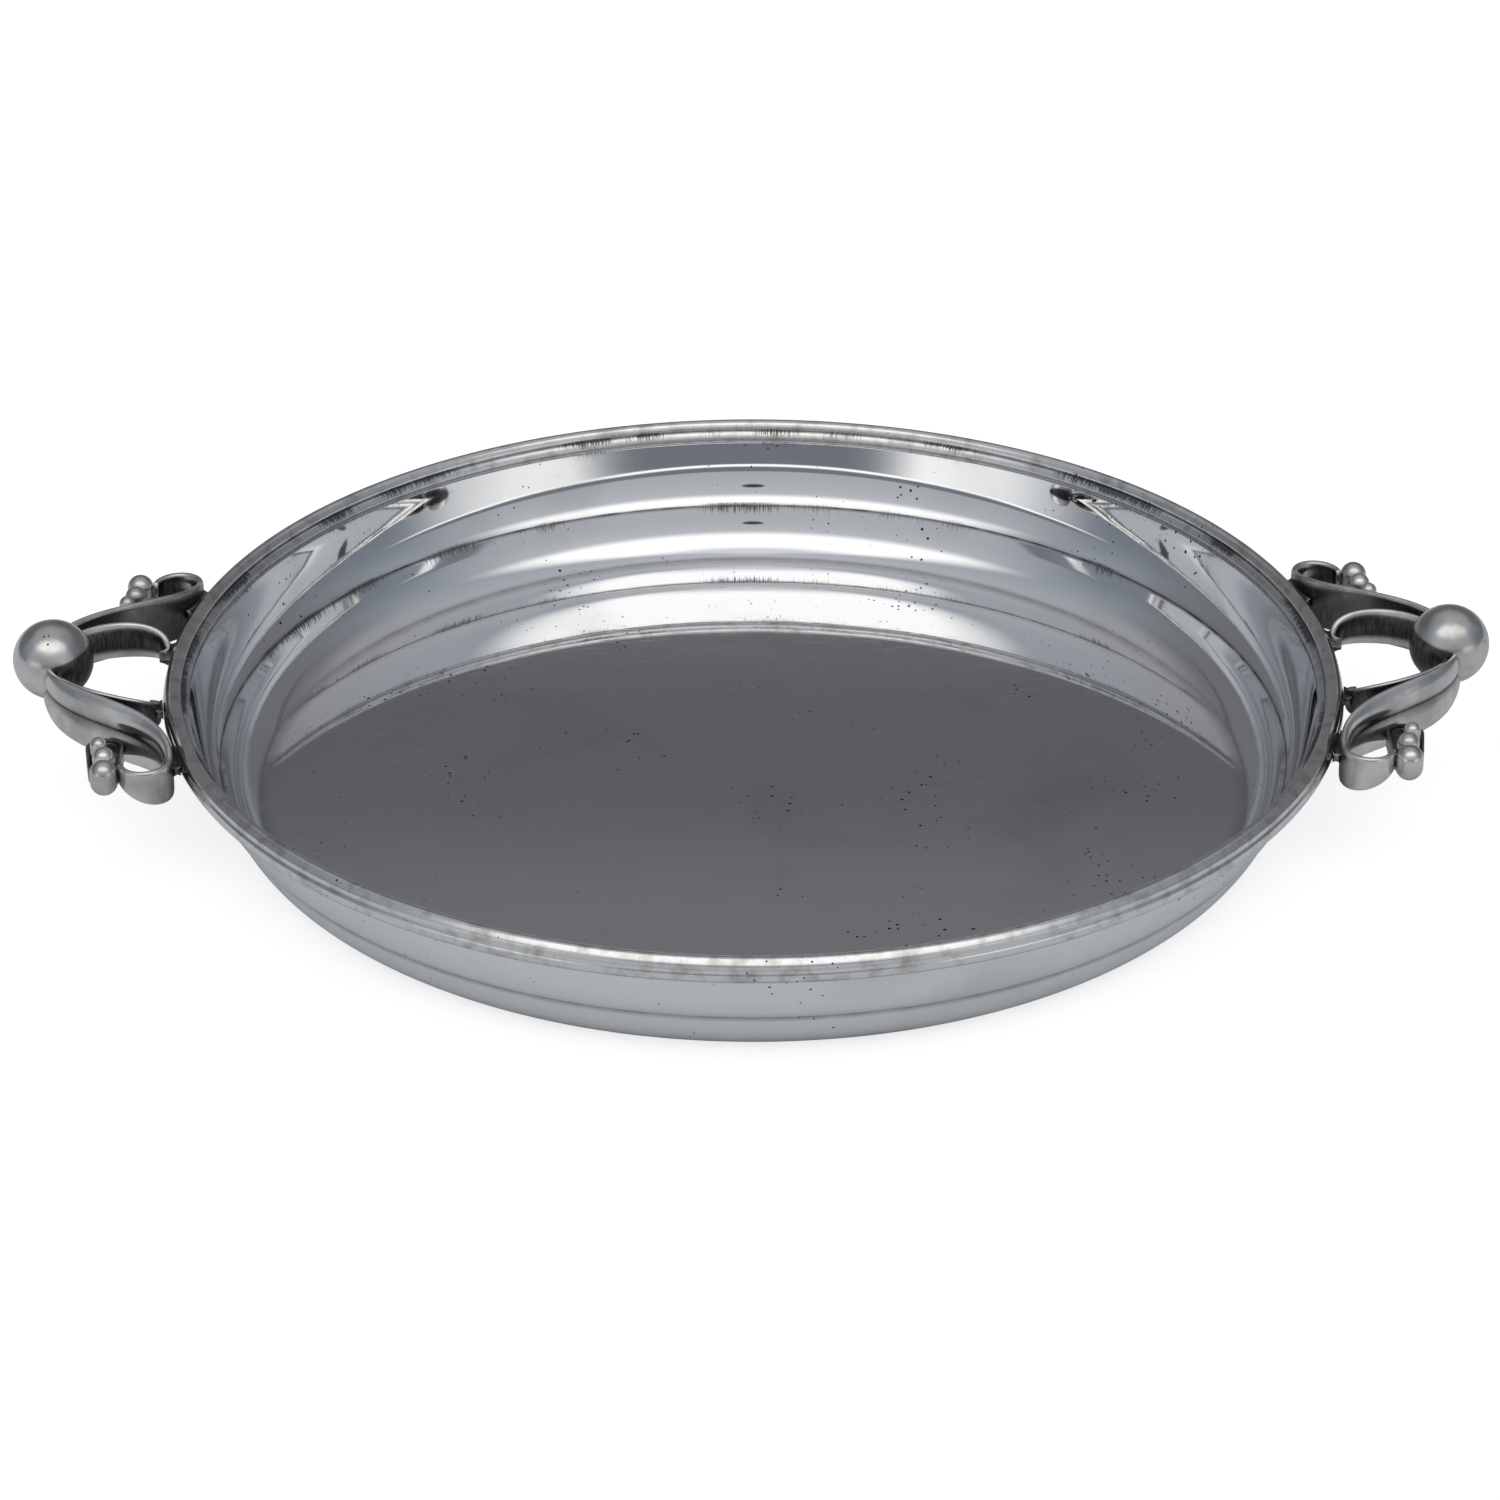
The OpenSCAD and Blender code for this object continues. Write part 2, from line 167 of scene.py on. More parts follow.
def bezier_way(points: Array, t: Array | float) -> Array:
    """Plan direction of the cubic: its derivative's first two values, made a unit vector.

    Args:
        points: Four control points, one to a row.
        t: Places along the curve, 0 to 1.

    Returns:
        Unit plan vectors, a row for each place.
    """
    t = np.atleast_1d(t)
    weights = np.stack([(1 - t) ** 2, 2 * t * (1 - t), t * t], axis=-1)
    return unit((weights @ np.diff(points, axis=0))[:, :2])


def crossing(mid: Array, radius: float, other: Array, other_radius: float, sign: int) -> float:
    """Angle on a circle where another one crosses it.

    The angle is the direction to the other centre, plus or minus the angle that the law of cosines gives.

    Args:
        mid: Centre of the circle.
        radius: Its radius.
        other: Centre of the other circle.
        other_radius: Radius of the other circle.
        sign: Which of the two crossings, 1 or -1.

    Returns:
        The angle in degrees.
    """
    gap = other - mid
    far = np.hypot(*gap)
    share = (radius**2 + far**2 - other_radius**2) / (2 * radius * far)
    return float(np.degrees(np.arctan2(gap[1], gap[0]) + sign * np.arccos(share)))


def near(points: Array, spot: Array, reach: float) -> Array:
    """Bell curve of the distance to a spot: 1 on it, about a third at the reach, then falling to 0."""
    return np.exp(-((np.linalg.norm(points - spot, axis=-1) / reach) ** 2))


def darkening_along(section: Array, *lines: tuple[Array, float, float]) -> Array:
    """Darkening along a section, tarnish and painted shade alike: at each point, the densest bell curve about
    its lines (spot, share, reach).
    """
    return np.max([share * near(section, spot, reach) for spot, share, reach in lines], axis=0)


def resampled(line: Array, weights: Array, count: int, closed: bool) -> Array:
    """Takes points along a line at even steps of the sum of its stretches' weights.

    Args:
        line: Points of the line, one to a row.
        weights: Weight of each stretch between two points.
        count: Number of points to take.
        closed: Whether the line ends where it starts, so that its last point is left out.

    Returns:
        The new points, one to a row.
    """
    run = np.append(0.0, np.cumsum(weights))
    places = np.linspace(0, run[-1], count, endpoint=not closed)
    return np.stack([np.interp(places, run, values) for values in line.T], axis=-1)


@dataclass(frozen=True)
class Polish:
    """How polishing rounds a section's corners, and how many points the section keeps.

    The radius is the width of a bell curve, about half the radius that a square corner gets. When points are
    shared out, a straight run of the flat length weighs as much as a bend by the turn, in degrees.
    """

    radius: float
    points: int
    flat: float
    turn: float
    step: float = 0.04
    tails: float = 4.0

    def softened(self, line: Array, closed: bool) -> Array:
        """Rounds corners: points at an even step become the means of their neighbours under the bell curve.

        An open line's ends stay, because it is continued past them by its own half-turn copy.

        Args:
            line: Points of the section, one to a row.
            closed: Whether the last point is the first again.

        Returns:
            The rounded section, finely sampled.
        """
        weights = np.linalg.norm(np.diff(line, axis=0), axis=1)
        even = resampled(line, weights, int(np.cumsum(weights)[-1] / self.step), closed)
        reach = int(self.tails * self.radius / self.step) + 1
        bell = np.exp(-0.5 * (np.arange(-reach, reach + 1) * self.step / self.radius) ** 2)
        beyond = {"mode": "wrap"} if closed else {"mode": "reflect", "reflect_type": "odd"}
        padded = np.pad(even, ((reach, reach), (0, 0)), **beyond)
        bell /= bell.sum()
        return np.stack([np.convolve(values, bell, mode="valid") for values in padded.T], axis=-1)

    def section(self, line: Array, closed: bool = False) -> Array:
        """Rounds a section and keeps the points that it needs: few along straight runs and many round bends.

        Args:
            line: Points of the section, one to a row.
            closed: Whether the last point joins the first.

        Returns:
            The rounded section.
        """
        line = self.softened(np.vstack([line, line[:1]]) if closed else line, closed)
        line = np.vstack([line, line[:1]]) if closed else line
        steps = np.diff(line, axis=0)
        heading = np.unwrap(np.arctan2(steps[:, 1], steps[:, 0]))
        bend = np.degrees(np.abs(np.diff(heading, append=heading[-1:])))
        weights = np.linalg.norm(steps, axis=1) / self.flat + bend / self.turn
        return resampled(line, weights, self.points, closed)


def shade(piece: Piece, name: str, values: Array) -> None:
    """Stores a value for each point of a piece under a name, for its finish to read."""
    layer = piece.data.attributes.new(name, "FLOAT", "POINT")
    layer.data.foreach_set("value", np.ascontiguousarray(values.ravel(), np.float32))


def new_piece(
    name: str, points: Array, faces: Faces, shades: dict[str, Array], place: Place | None = None
) -> Piece:
    """Puts points and faces into a smooth mesh object at the origin.

    Args:
        name: Name of the piece.
        points: Points in millimetres, one to a row.
        faces: Point numbers of each face, in outward order.
        shades: Point attributes for the finish, by name.
        place: Quarter to mirror the piece into, or None to leave it.

    Returns:
        The new object, linked into the scene.
    """
    if place is not None:
        points, faces = place.put(points), place.turned(faces)
    mesh = bpy.data.meshes.new(name)
    mesh.from_pydata((points * MM).tolist(), [], faces)
    mesh.polygons.foreach_set("use_smooth", np.ones(len(mesh.polygons), bool))
    mesh.update()
    piece = bpy.data.objects.new(name, mesh)
    for key, values in shades.items():
        shade(piece, key, values)
    bpy.context.scene.collection.objects.link(piece)
    return piece


def grid_faces(rows: int, columns: int, wrap_rows: bool = False) -> Faces:
    """Quads of a grid whose columns close on themselves.

    Args:
        rows: Number of rows, along the path or section.
        columns: Number of columns round the piece.
        wrap_rows: Whether the last row joins the first.

    Returns:
        Point numbers, four to a face.
    """
    index = np.arange(rows * columns).reshape(rows, columns)
    here = index if wrap_rows else index[:-1]
    there = np.roll(index, -1, axis=0) if wrap_rows else index[1:]
    quads = [here, np.roll(here, -1, axis=1), np.roll(there, -1, axis=1), there]
    return np.stack(quads, axis=-1).reshape(-1, 4).tolist()


def end_fans(rows: int, columns: int) -> Faces:
    """Triangles that close a grid's first and last row on two points that follow the grid.

    Args:
        rows: Number of rows of the grid.
        columns: Number of its columns.

    Returns:
        Point numbers, three to a face.
    """
    first = np.arange(columns)
    last = first + (rows - 1) * columns
    low = np.full(columns, rows * columns)
    start = np.stack([np.roll(first, -1), first, low], axis=-1)
    finish = np.stack([last, np.roll(last, -1), low + 1], axis=-1)
    return np.vstack([start, finish]).tolist()


def lathe(
    name: str,
    section: Array,
    turns: int,
    shades: dict[str, Array],
    closed: bool = False,
    mid: tuple[float, float] = (0.0, 0.0),
) -> Piece:
    """Turns a section round an upright axis: x = r cos a, y = r sin a, z as in the section.

    Args:
        name: Name of the piece.
        section: Points (radius, height), counter-clockwise. An open one starts and ends on the axis.
        turns: Points round the axis.
        shades: Attributes for the finish, a value for each point of the section.
        closed: Whether the section is a ring that stays clear of the axis.
        mid: Plan position of the axis.

    Returns:
        The new object, with its poles closed.
    """
    body = slice(None) if closed else slice(1, -1)
    radius, height = section[body].T
    plan = radius[:, None, None] * ring(np.arange(turns) * 360 / turns)
    points = np.dstack([plan, np.broadcast_to(height[:, None], plan.shape[:2])]).reshape(-1, 3)
    faces = grid_faces(len(radius), turns, closed)
    full = {key: np.repeat(value[body], turns) for key, value in shades.items()}
    if not closed:
        points = np.vstack([points, [[0, 0, section[0, 1]], [0, 0, section[-1, 1]]]])
        faces += end_fans(len(radius), turns)
        full = {key: np.append(value, shades[key][[0, -1]]) for key, value in full.items()}
    return new_piece(name, points + [*mid, 0.0], faces, full)


def bar(name: str, grid: Array, tarnish_and_shade: Array, place: Place) -> Piece:
    """Makes a bar from a grid whose rows close on themselves, each end a fan round its row's mean.

    Args:
        name: Name of the piece.
        grid: Points, a row of them for each station along the bar.
        tarnish_and_shade: Share of dark film at each point of the grid: tarnish, and painted shade on some
            pieces.
        place: Quarter that the bar belongs to.

    Returns:
        The new object.
    """
    ends = [0, -1]
    points = np.vstack([grid.reshape(-1, 3), grid[ends].mean(axis=1)])
    faces = grid_faces(*grid.shape[:2]) + end_fans(*grid.shape[:2])
    return new_piece(name, points, faces, {"tarnish_and_shade": np.append(tarnish_and_shade, tarnish_and_shade[ends].mean(axis=1))}, place)


def linear(colour: str) -> tuple[float, float, float, float]:
    """Turns an sRGB colour into linear values: v / 12.92 if dark, else ((v + 0.055) / 1.055) to the 2.4.

    Args:
        colour: The colour as a hex value, such as #F4F4F4.

    Returns:
        Linear red, green and blue, and full alpha.
    """
    value = np.array([int(colour[k : k + 2], 16) for k in (1, 3, 5)]) / 255
    low, high = value / 12.92, ((value + 0.055) / 1.055) ** 2.4
    return (*np.where(value <= 0.04045, low, high).tolist(), 1.0)


def add_node(
    tree: Tree, kind: str, inputs: dict | tuple = (), **settings: object
) -> bpy.types.bpy_prop_collection:
    """Adds a node with its settings, and fills or links its inputs.

    Args:
        tree: Node tree that gets the node.
        kind: Blender's name of the node, without its ShaderNode prefix.
        inputs: Values, or sockets to link, in the order of the inputs or by their names or numbers.
        settings: Properties of the node.

    Returns:
        The new node's outputs.
    """
    node = tree.nodes.new("ShaderNode" + kind)
    for key, value in settings.items():
        setattr(node, key, value)
    for key, value in inputs.items() if isinstance(inputs, dict) else enumerate(inputs):
        if isinstance(value, Socket):
            tree.links.new(value, node.inputs[key])
        else:
            node.inputs[key].default_value = value
    return node.outputs


def new_material(name: str) -> tuple[bpy.types.Material, Tree]:
    """Starts an empty node material.

    Args:
        name: Name of the material.

    Returns:
        The material and its node tree.
    """
    material = bpy.data.materials.new(name)
    material.use_nodes = True
    material.node_tree.nodes.clear()
    return material, material.node_tree


@dataclass(frozen=True)
class SilverFinish:
    """What all the silver surfaces share: bright metal, dark film, worn strokes, pits and a soft cloudiness.

    The film lies where a piece's tarnish attribute says; on some pieces that attribute also carries painted
    shade and painted dark reflections, drawn in the same dark colour. The strokes lie where its wear attribute
    says. The pits are where the surface passes close to scattered points, so that they differ in size. A range
    is the part of a noise's values over which a mark comes in.
    """

    name: str = "silver"
    slot: Slot = Slot.POLISHED
    silver: str = "#F4F4F4"
    # Dark colour of tarnish, pits and strokes; it also paints the shade and dark reflections that some pieces
    # carry in their tarnish attribute.
    film: str = "#121212"
    patina: str = "#E3E3E2"
    clear: float = 0.015
    cloudy: float = 0.05
    filmed: float = 0.35
    cloud: float = 45.0
    cloud_detail: float = 5.0
    haze_range: Range = (0.35, 0.7)
    patina_range: Range = (0.55, 0.75)
    speck: float = 5.0
    speck_detail: float = 4.0
    speck_range: Range = (0.35, 0.65)
    streak: float = 1.0
    break_up: float = 0.3
    grain: float = 30.0
    grain_detail: float = 1.0
    ripple: float = 0.03
    pit_gap: float = 2.3
    pit: float = 0.46
    pit_least: float = 0.001
    pit_edge: Range = (1.0, 0.6)
    pit_patch: float = 26.0
    pit_detail: float = 5.0
    pit_range: Range = (0.46, 0.64)
    stroke_r: float = 113.75
    stroke: float = 0.13
    stroke_long: float = 4.0
    stroke_detail: float = 3.0
    stroke_gain: float = 0.3
    stroke_cut: Range = (0.66, 0.74)
    stroke_patch: float = 24.0
    stroke_range: Range = (0.4, 0.64)
    stroke_worn: Range = (0.05, 0.5)
    stroke_film: float = 0.8
    hair_ways: tuple[float, ...] = ()
    hair: float = 0.14
    hair_long: float = 9.0
    hair_wide: float = 0.25
    hair_crest: Range = (0.74, 0.8)
    hair_below: float = 2.0

    def strokes(self, tree: Tree, place: Socket) -> Socket:
        """Short dark strokes square to the worn edges, in patches.

        They are a noise over the distance round the dish and the height, drawn out along the height. The
        wear lifts it over a threshold, so the strokes are dense at the edge and run out at different lengths.
        Real ones are about 0.1 mm wide, too fine for the picture, so they are drawn coarser.

        Args:
            tree: Node tree of the material.
            place: Socket with the object's coordinates.

        Returns:
            Socket with the strokes' share of dark film.
        """
        parts = add_node(tree, "SeparateXYZ", (place,))
        angle = add_node(tree, "Math", (parts["Y"], parts["X"]), operation="ARCTAN2")[0]
        along = add_node(tree, "Math", (angle, self.stroke_r / self.stroke), operation="MULTIPLY")[0]
        up = add_node(tree, "Math", (parts["Z"], self.stroke_long * MM), operation="DIVIDE")[0]
        sheet = add_node(tree, "CombineXYZ", (along, up))[0]
        noise = add_node(tree, "TexNoise", {"Vector": sheet, "Scale": 1.0, "Detail": self.stroke_detail})["Fac"]
        patch = add_node(tree, "TexNoise", {"Vector": place, "Scale": 1 / (self.stroke_patch * MM)})["Fac"]
        patch = add_node(tree, "MapRange", (patch, *self.stroke_range))[0]
        wear = add_node(tree, "Attribute", attribute_name="wear")["Fac"]
        worn = add_node(tree, "Math", (patch, wear), operation="MULTIPLY")[0]
        lifted = add_node(tree, "Math", (worn, self.stroke_gain, noise), operation="MULTIPLY_ADD")[0]
        strokes = add_node(tree, "MapRange", (lifted, *self.stroke_cut))[0]
        share = add_node(tree, "MapRange", (worn, *self.stroke_worn, 0.0, self.stroke_film))[0]
        return add_node(tree, "Math", (strokes, share), operation="MULTIPLY")[0]

    def pits(self, tree: Tree, place: Socket) -> Socket:
        """Dark pits in patches, smaller towards a patch's edge.

        Args:
            tree: Node tree of the material.
            place: Socket with the object's coordinates.

        Returns:
            Socket with the pits' share of dark film.
        """
        far = add_node(tree, "TexVoronoi", {"Vector": place, "Scale": 1 / (self.pit_gap * MM)})["Distance"]
        patch = {"Vector": place, "Scale": 1 / (self.pit_patch * MM), "Detail": self.pit_detail}
        patch = add_node(tree, "TexNoise", patch)["Fac"]
        sizes = (self.pit_least, self.pit / self.pit_gap)
        size = add_node(tree, "MapRange", (patch, *self.pit_range, *sizes))[0]
        spot = add_node(tree, "Math", (far, size), operation="DIVIDE")[0]
        return add_node(tree, "MapRange", (spot, *self.pit_edge))[0]

    def film_share(self, tree: Tree, place: Socket) -> Socket:
        """Dark film: the piece's own tarnish and painted shade, broken up by fine specks, or a pit or stroke
        where that is darker.

        Args:
            tree: Node tree of the material.
            place: Socket with the object's coordinates.

        Returns:
            Socket with the share of dark film.
        """
        upright = add_node(tree, "Mapping", {"Vector": place, "Scale": (1, 1, 1 / self.streak)})[0]
        speck = {"Vector": upright, "Scale": 1 / (self.speck * MM), "Detail": self.speck_detail}
        speck = add_node(tree, "TexNoise", speck)["Fac"]
        broken = add_node(tree, "MapRange", (speck, *self.speck_range, 1 - self.break_up))[0]
        tarnish_and_shade = add_node(tree, "Attribute", attribute_name="tarnish_and_shade")["Fac"]
        film = add_node(tree, "Math", (tarnish_and_shade, broken), operation="MULTIPLY")[0]
        for mark in (self.pits(tree, place), self.strokes(tree, place)):
            film = add_node(tree, "Math", (film, mark), operation="MAXIMUM")[0]
        return film

    def hairlines(self, tree: Tree, place: Socket, rough: Socket) -> Socket:
        """Roughens hairlines into the floor: crests of a noise drawn out along each of their directions.

        Real ones are a few hundredths of a millimetre wide, so they are drawn coarser.

        Args:
            tree: Node tree of the material.
            place: Socket with the object's coordinates.
            rough: Socket with the roughness between the lines.

        Returns:
            Socket with the roughness.
        """
        height = add_node(tree, "SeparateXYZ", (place,))["Z"]
        low = add_node(tree, "Math", (height, self.hair_below * MM), operation="LESS_THAN")[0]
        thin = (1, self.hair_long / self.hair_wide, 1)
        for angle in self.hair_ways:
            way = {"Vector": place, "Rotation": (0, 0, np.radians(angle)), "Scale": thin}
            way = add_node(tree, "Mapping", way)[0]
            noise = {"Vector": way, "Scale": 1 / (self.hair_long * MM), "Detail": 0.0}
            noise = add_node(tree, "TexNoise", noise)["Fac"]
            crest = add_node(tree, "MapRange", (noise, *self.hair_crest, 0.0, low))[0]
            rough = add_node(tree, "Mix", {0: crest, 2: rough, 3: self.hair})[0]
        return rough

    def material(self) -> bpy.types.Material:
        """Builds the node material.

        Returns:
            The material, a metallic shader whose colour and roughness follow film, pits and cloudiness.
        """
        material, tree = new_material(self.name)
        place = add_node(tree, "TexCoord")["Object"]
        film = self.film_share(tree, place)
        cloud = {"Vector": place, "Scale": 1 / (self.cloud * MM), "Detail": self.cloud_detail}
        cloud = add_node(tree, "TexNoise", cloud)["Fac"]
        stain = add_node(tree, "MapRange", (cloud, *self.patina_range))[0]
        tones = {0: stain, 6: linear(self.silver), 7: linear(self.patina)}
        tones = {0: film, 6: add_node(tree, "Mix", tones, data_type="RGBA")[2], 7: linear(self.film)}
        colour = add_node(tree, "Mix", tones, data_type="RGBA")[2]
        rough = add_node(tree, "MapRange", (cloud, *self.haze_range, self.clear, self.cloudy))[0]
        rough = self.hairlines(tree, place, rough)
        rough = add_node(tree, "Mix", {0: film, 2: rough, 3: self.filmed})[0]
        hills = {"Vector": place, "Scale": 1 / (self.grain * MM), "Detail": self.grain_detail}
        hills = add_node(tree, "TexNoise", hills)["Fac"]
        bump = add_node(tree, "Bump", {"Distance": self.ripple * MM, "Height": hills})[0]
        look = {"Base Color": colour, "Metallic": 1.0, "Roughness": rough, "Normal": bump}
        shader = add_node(tree, "BsdfPrincipled", look)[0]
        add_node(tree, "OutputMaterial", {"Surface": shader})
        return material


@dataclass(frozen=True)
class BuffedSheet(SilverFinish):
    """Silver sheet, spun and buffed: a clear mirror with hairlines and a few dark pits; its dark lines are dirt
    along the ridge and painted shade at the floor's edge and round the foot.
    """

    name: str = "silver_sheet_spun_and_buffed"
    hair_ways: tuple[float, ...] = (22.0, -48.0, 81.0)


@dataclass(frozen=True)
class DrawnBand(SilverFinish):
    """Silver band, drawn and soldered on, dulled by handling: a grey sheen, brownish blotches and nicks."""

    name: str = "silver_band_drawn_and_soldered"
    silver: str = "#ECEBE9"
    patina: str = "#C4C0BB"
    clear: float = 0.14
    cloudy: float = 0.2
    cloud: float = 3.5
    patina_range: Range = (0.48, 0.72)
    speck: float = 0.8
    grain: float = 6.0
    ripple: float = 0.012
    pit_gap: float = 1.6
    pit: float = 0.3
    stroke: float = 0.28
    stroke_gain: float = 0.5


@dataclass(frozen=True)
class CastSilver(SilverFinish):
    """Silver, cast and softly finished by hand: broad highlights, dark film in the hollows, casting pits."""

    name: str = "silver_cast_and_hand_finished"
    slot: Slot = Slot.SATIN
    silver: str = "#E4E2DF"
    patina: str = "#B4B1AD"
    clear: float = 0.17
    cloudy: float = 0.28
    cloud: float = 8.0
    patina_range: Range = (0.42, 0.75)
    speck: float = 0.5
    streak: float = 9.0
    break_up: float = 0.1
    grain: float = 1.6
    ripple: float = 0.02
    pit_gap: float = 2.4
    pit: float = 0.3
    pit_patch: float = 12.0


@dataclass(frozen=True)
class OxidisedSilver(SilverFinish):
    """Silver, soldered and left dark by the fire: grey black, dull, with paler rubbed spots; on the solder pads
    its dark is also painted shade.
    """

    name: str = "silver_soldered_and_oxidised"
    slot: Slot = Slot.DARK
    silver: str = "#BDBBB8"
    patina: str = "#7C7976"
    clear: float = 0.2
    cloudy: float = 0.35
    cloud: float = 5.0
    patina_range: Range = (0.38, 0.62)
    speck: float = 1.6
    grain: float = 1.2
    ripple: float = 0.03


def dress(piece: Piece, finish: SilverFinish, *nodes: str) -> None:
    """Gives a piece its finish, its CAD body and the nodes that it stands for.

    Args:
        piece: The new piece.
        finish: Its finish.
        nodes: CAD nodes that the piece replaces.
    """
    material = bpy.data.materials.get(finish.name) or finish.material()
    piece.data.materials.append(material)
    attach(piece, "root")
    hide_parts(*nodes)
    log.info("%s: %d faces", piece.name, len(piece.data.polygons))


@dataclass
class RimBand:
    """Reeded ring over the edge of the dish: swelling face, crown and small inner bead."""

    radius: float = 125.0
    top: float = 29.2
    height: float = 4.9
    crown_r: float = 1.7
    crown_flats: tuple[Range, ...] = ((18, 70), (130, 162))
    bead_flats: tuple[Range, ...] = ((112, 178),)
    rubbed_down: float = 0.8
    quirk_drop: float = 2.2
    face_sag: float = 0.55
    bead_r: float = 1.25
    bead_angle: float = 38.0
    bead_overlap: float = 0.5
    rebate: float = 0.6
    sheet: float = 1.2
    seam: float = 0.05
    polish: Polish = Polish(radius=0.1, points=110, flat=0.8, turn=8.0)
    grime: float = 0.3
    quirk_film: float = 0.15
    line_film: float = 0.8
    bead_film: float = 0.6
    bead_film_at: float = 0.55
    # Reach and strength of the painted shade along the face's foot.
    foot_shade_reach: float = 0.45
    foot_darkening: float = 0.5
    bead_wear: float = 1.7
    turns: int = 400

    @property
    def foot(self) -> float:
        """Height of the band's lower edge."""
        return self.top - self.height

    @property
    def crown_mid(self) -> Array:
        """Centre of the crown's circle."""
        half = np.sqrt(self.crown_r**2 - (self.quirk_drop - self.crown_r) ** 2)
        return np.array([self.radius - self.face_sag - half, self.top - self.crown_r])

    @property
    def bead_mid(self) -> Array:
        """Centre of the inner bead's circle."""
        reach = self.crown_r + self.bead_r - self.bead_overlap
        return self.crown_mid - reach * ring(self.bead_angle)

    @property
    def wall_r(self) -> float:
        """Inner radius of the band, where the dish's wall comes up to it."""
        return float(self.bead_mid[0] - self.bead_r)

    @property
    def wall_top(self) -> float:
        """Height of the dish's edge inside the band."""
        return self.foot + self.rebate - self.seam

    def rubbed(self, curve: Array, mid: Array, flats: tuple[Range, ...]) -> Array:
        """Rubs parts of a round moulding most of the way down to a chord, as years of polishing do.

        Args:
            curve: Points on the moulding's circle, one to a row.
            mid: Centre of the circle.
            flats: First and last angle of each rubbed part, in degrees.

        Returns:
            The points, moved.
        """
        away = curve - mid
        angle = np.degrees(np.arctan2(away[:, 1], away[:, 0])) % 360
        radius = np.hypot(*away[0])
        for low, high in flats:
            ends = mid + radius * ring(np.array([low, high]))
            chord = mix(ends[0], ends[1], ((angle - low) / (high - low))[:, None])
            on = ((angle > low) & (angle < high))[:, None]
            curve = np.where(on, mix(curve, chord, self.rubbed_down), curve)
        return curve

    def build(self) -> None:
        """Builds and dresses the band.

        The section is an arc for the face, one for the crown and one for the bead, then the rebate over the
        dish's edge. Film gathers beside the crown and under the bead, painted shade darkens the face's foot
        where the band meets the dish, and worn strokes run down over the bead.
        """
        half = (self.height - self.quirk_drop) / 2
        face_r = (half**2 + self.face_sag**2) / (2 * self.face_sag)
        face_mid = np.array([self.radius - face_r, self.foot + half])
        face_angle = np.degrees(np.arcsin(half / face_r))
        quirk = np.degrees(np.arcsin((self.quirk_drop - self.crown_r) / self.crown_r))
        crown, bead = self.crown_mid, self.bead_mid
        crown_cut = crossing(crown, self.crown_r, bead, self.bead_r, -1) + 360
        bead_cut = crossing(bead, self.bead_r, crown, self.crown_r, 1)
        inner = self.wall_r + self.sheet + self.seam
        sill = self.foot + self.rebate
        line = np.vstack(
            [
                arc(face_mid, face_r, -face_angle, face_angle),
                self.rubbed(arc(crown, self.crown_r, -quirk, crown_cut), crown, self.crown_flats)[1:],
                self.rubbed(arc(bead, self.bead_r, bead_cut, 180), bead, self.bead_flats)[1:],
                [[self.wall_r, sill], [inner, sill], [inner, self.foot]],
            ]
        )
        section = self.polish.section(line, closed=True)
        quirk_line, bead_line = crown + self.crown_r * ring(np.array([-quirk, crown_cut]))
        bead_foot = np.array([self.wall_r, mix(sill, bead[1], self.bead_film_at)])
        tarnish_and_shade = darkening_along(
            section,
            (quirk_line, self.quirk_film, self.grime),
            (bead_line, self.line_film, self.grime),
            (bead_foot, self.bead_film, self.grime),
            # Painted shade: a dark line along the face's foot, where the band meets the dish's wall.
            (line[0] + [0, self.foot_shade_reach / 2], self.foot_darkening, self.foot_shade_reach),
        )
        wear = near(section, bead_line, self.bead_wear) * (section[:, 0] < bead_line[0])
        piece = lathe("reeded_rim", section, self.turns, {"tarnish_and_shade": tarnish_and_shade, "wear": wear}, closed=True)
        dress(piece, DrawnBand(), "rim_band")


@dataclass(frozen=True)
class Wall:
    """Curved stretch of the dish's wall: a cubic with its lean from upright and its pull at both ends.

    A pull is a share of the stretch's chord.
    """

    foot_angle: float
    head_angle: float
    foot_pull: float
    head_pull: float
    points: int = 60

    def faces(self, foot: Array, head: Array, sheet: float) -> tuple[Array, Array]:
        """Works out both faces: the outer one is the inner one moved square to itself by the gauge.

        Args:
            foot: Lower end of the inner face.
            head: Upper end of the inner face.
            sheet: Gauge of the sheet.

        Returns:
            Points of the inner and of the outer face, one to a row.
        """
        chord = np.hypot(*(head - foot))
        lead = self.foot_pull * chord * ring(90 - self.foot_angle)
        trail = self.head_pull * chord * ring(90 - self.head_angle)
        curve = np.array([foot, foot + lead, head - trail, head])
        t = np.linspace(0, 1, self.points)
        inner = bezier(curve, t)
        return inner, inner + sheet * right_of(bezier_way(curve, t))


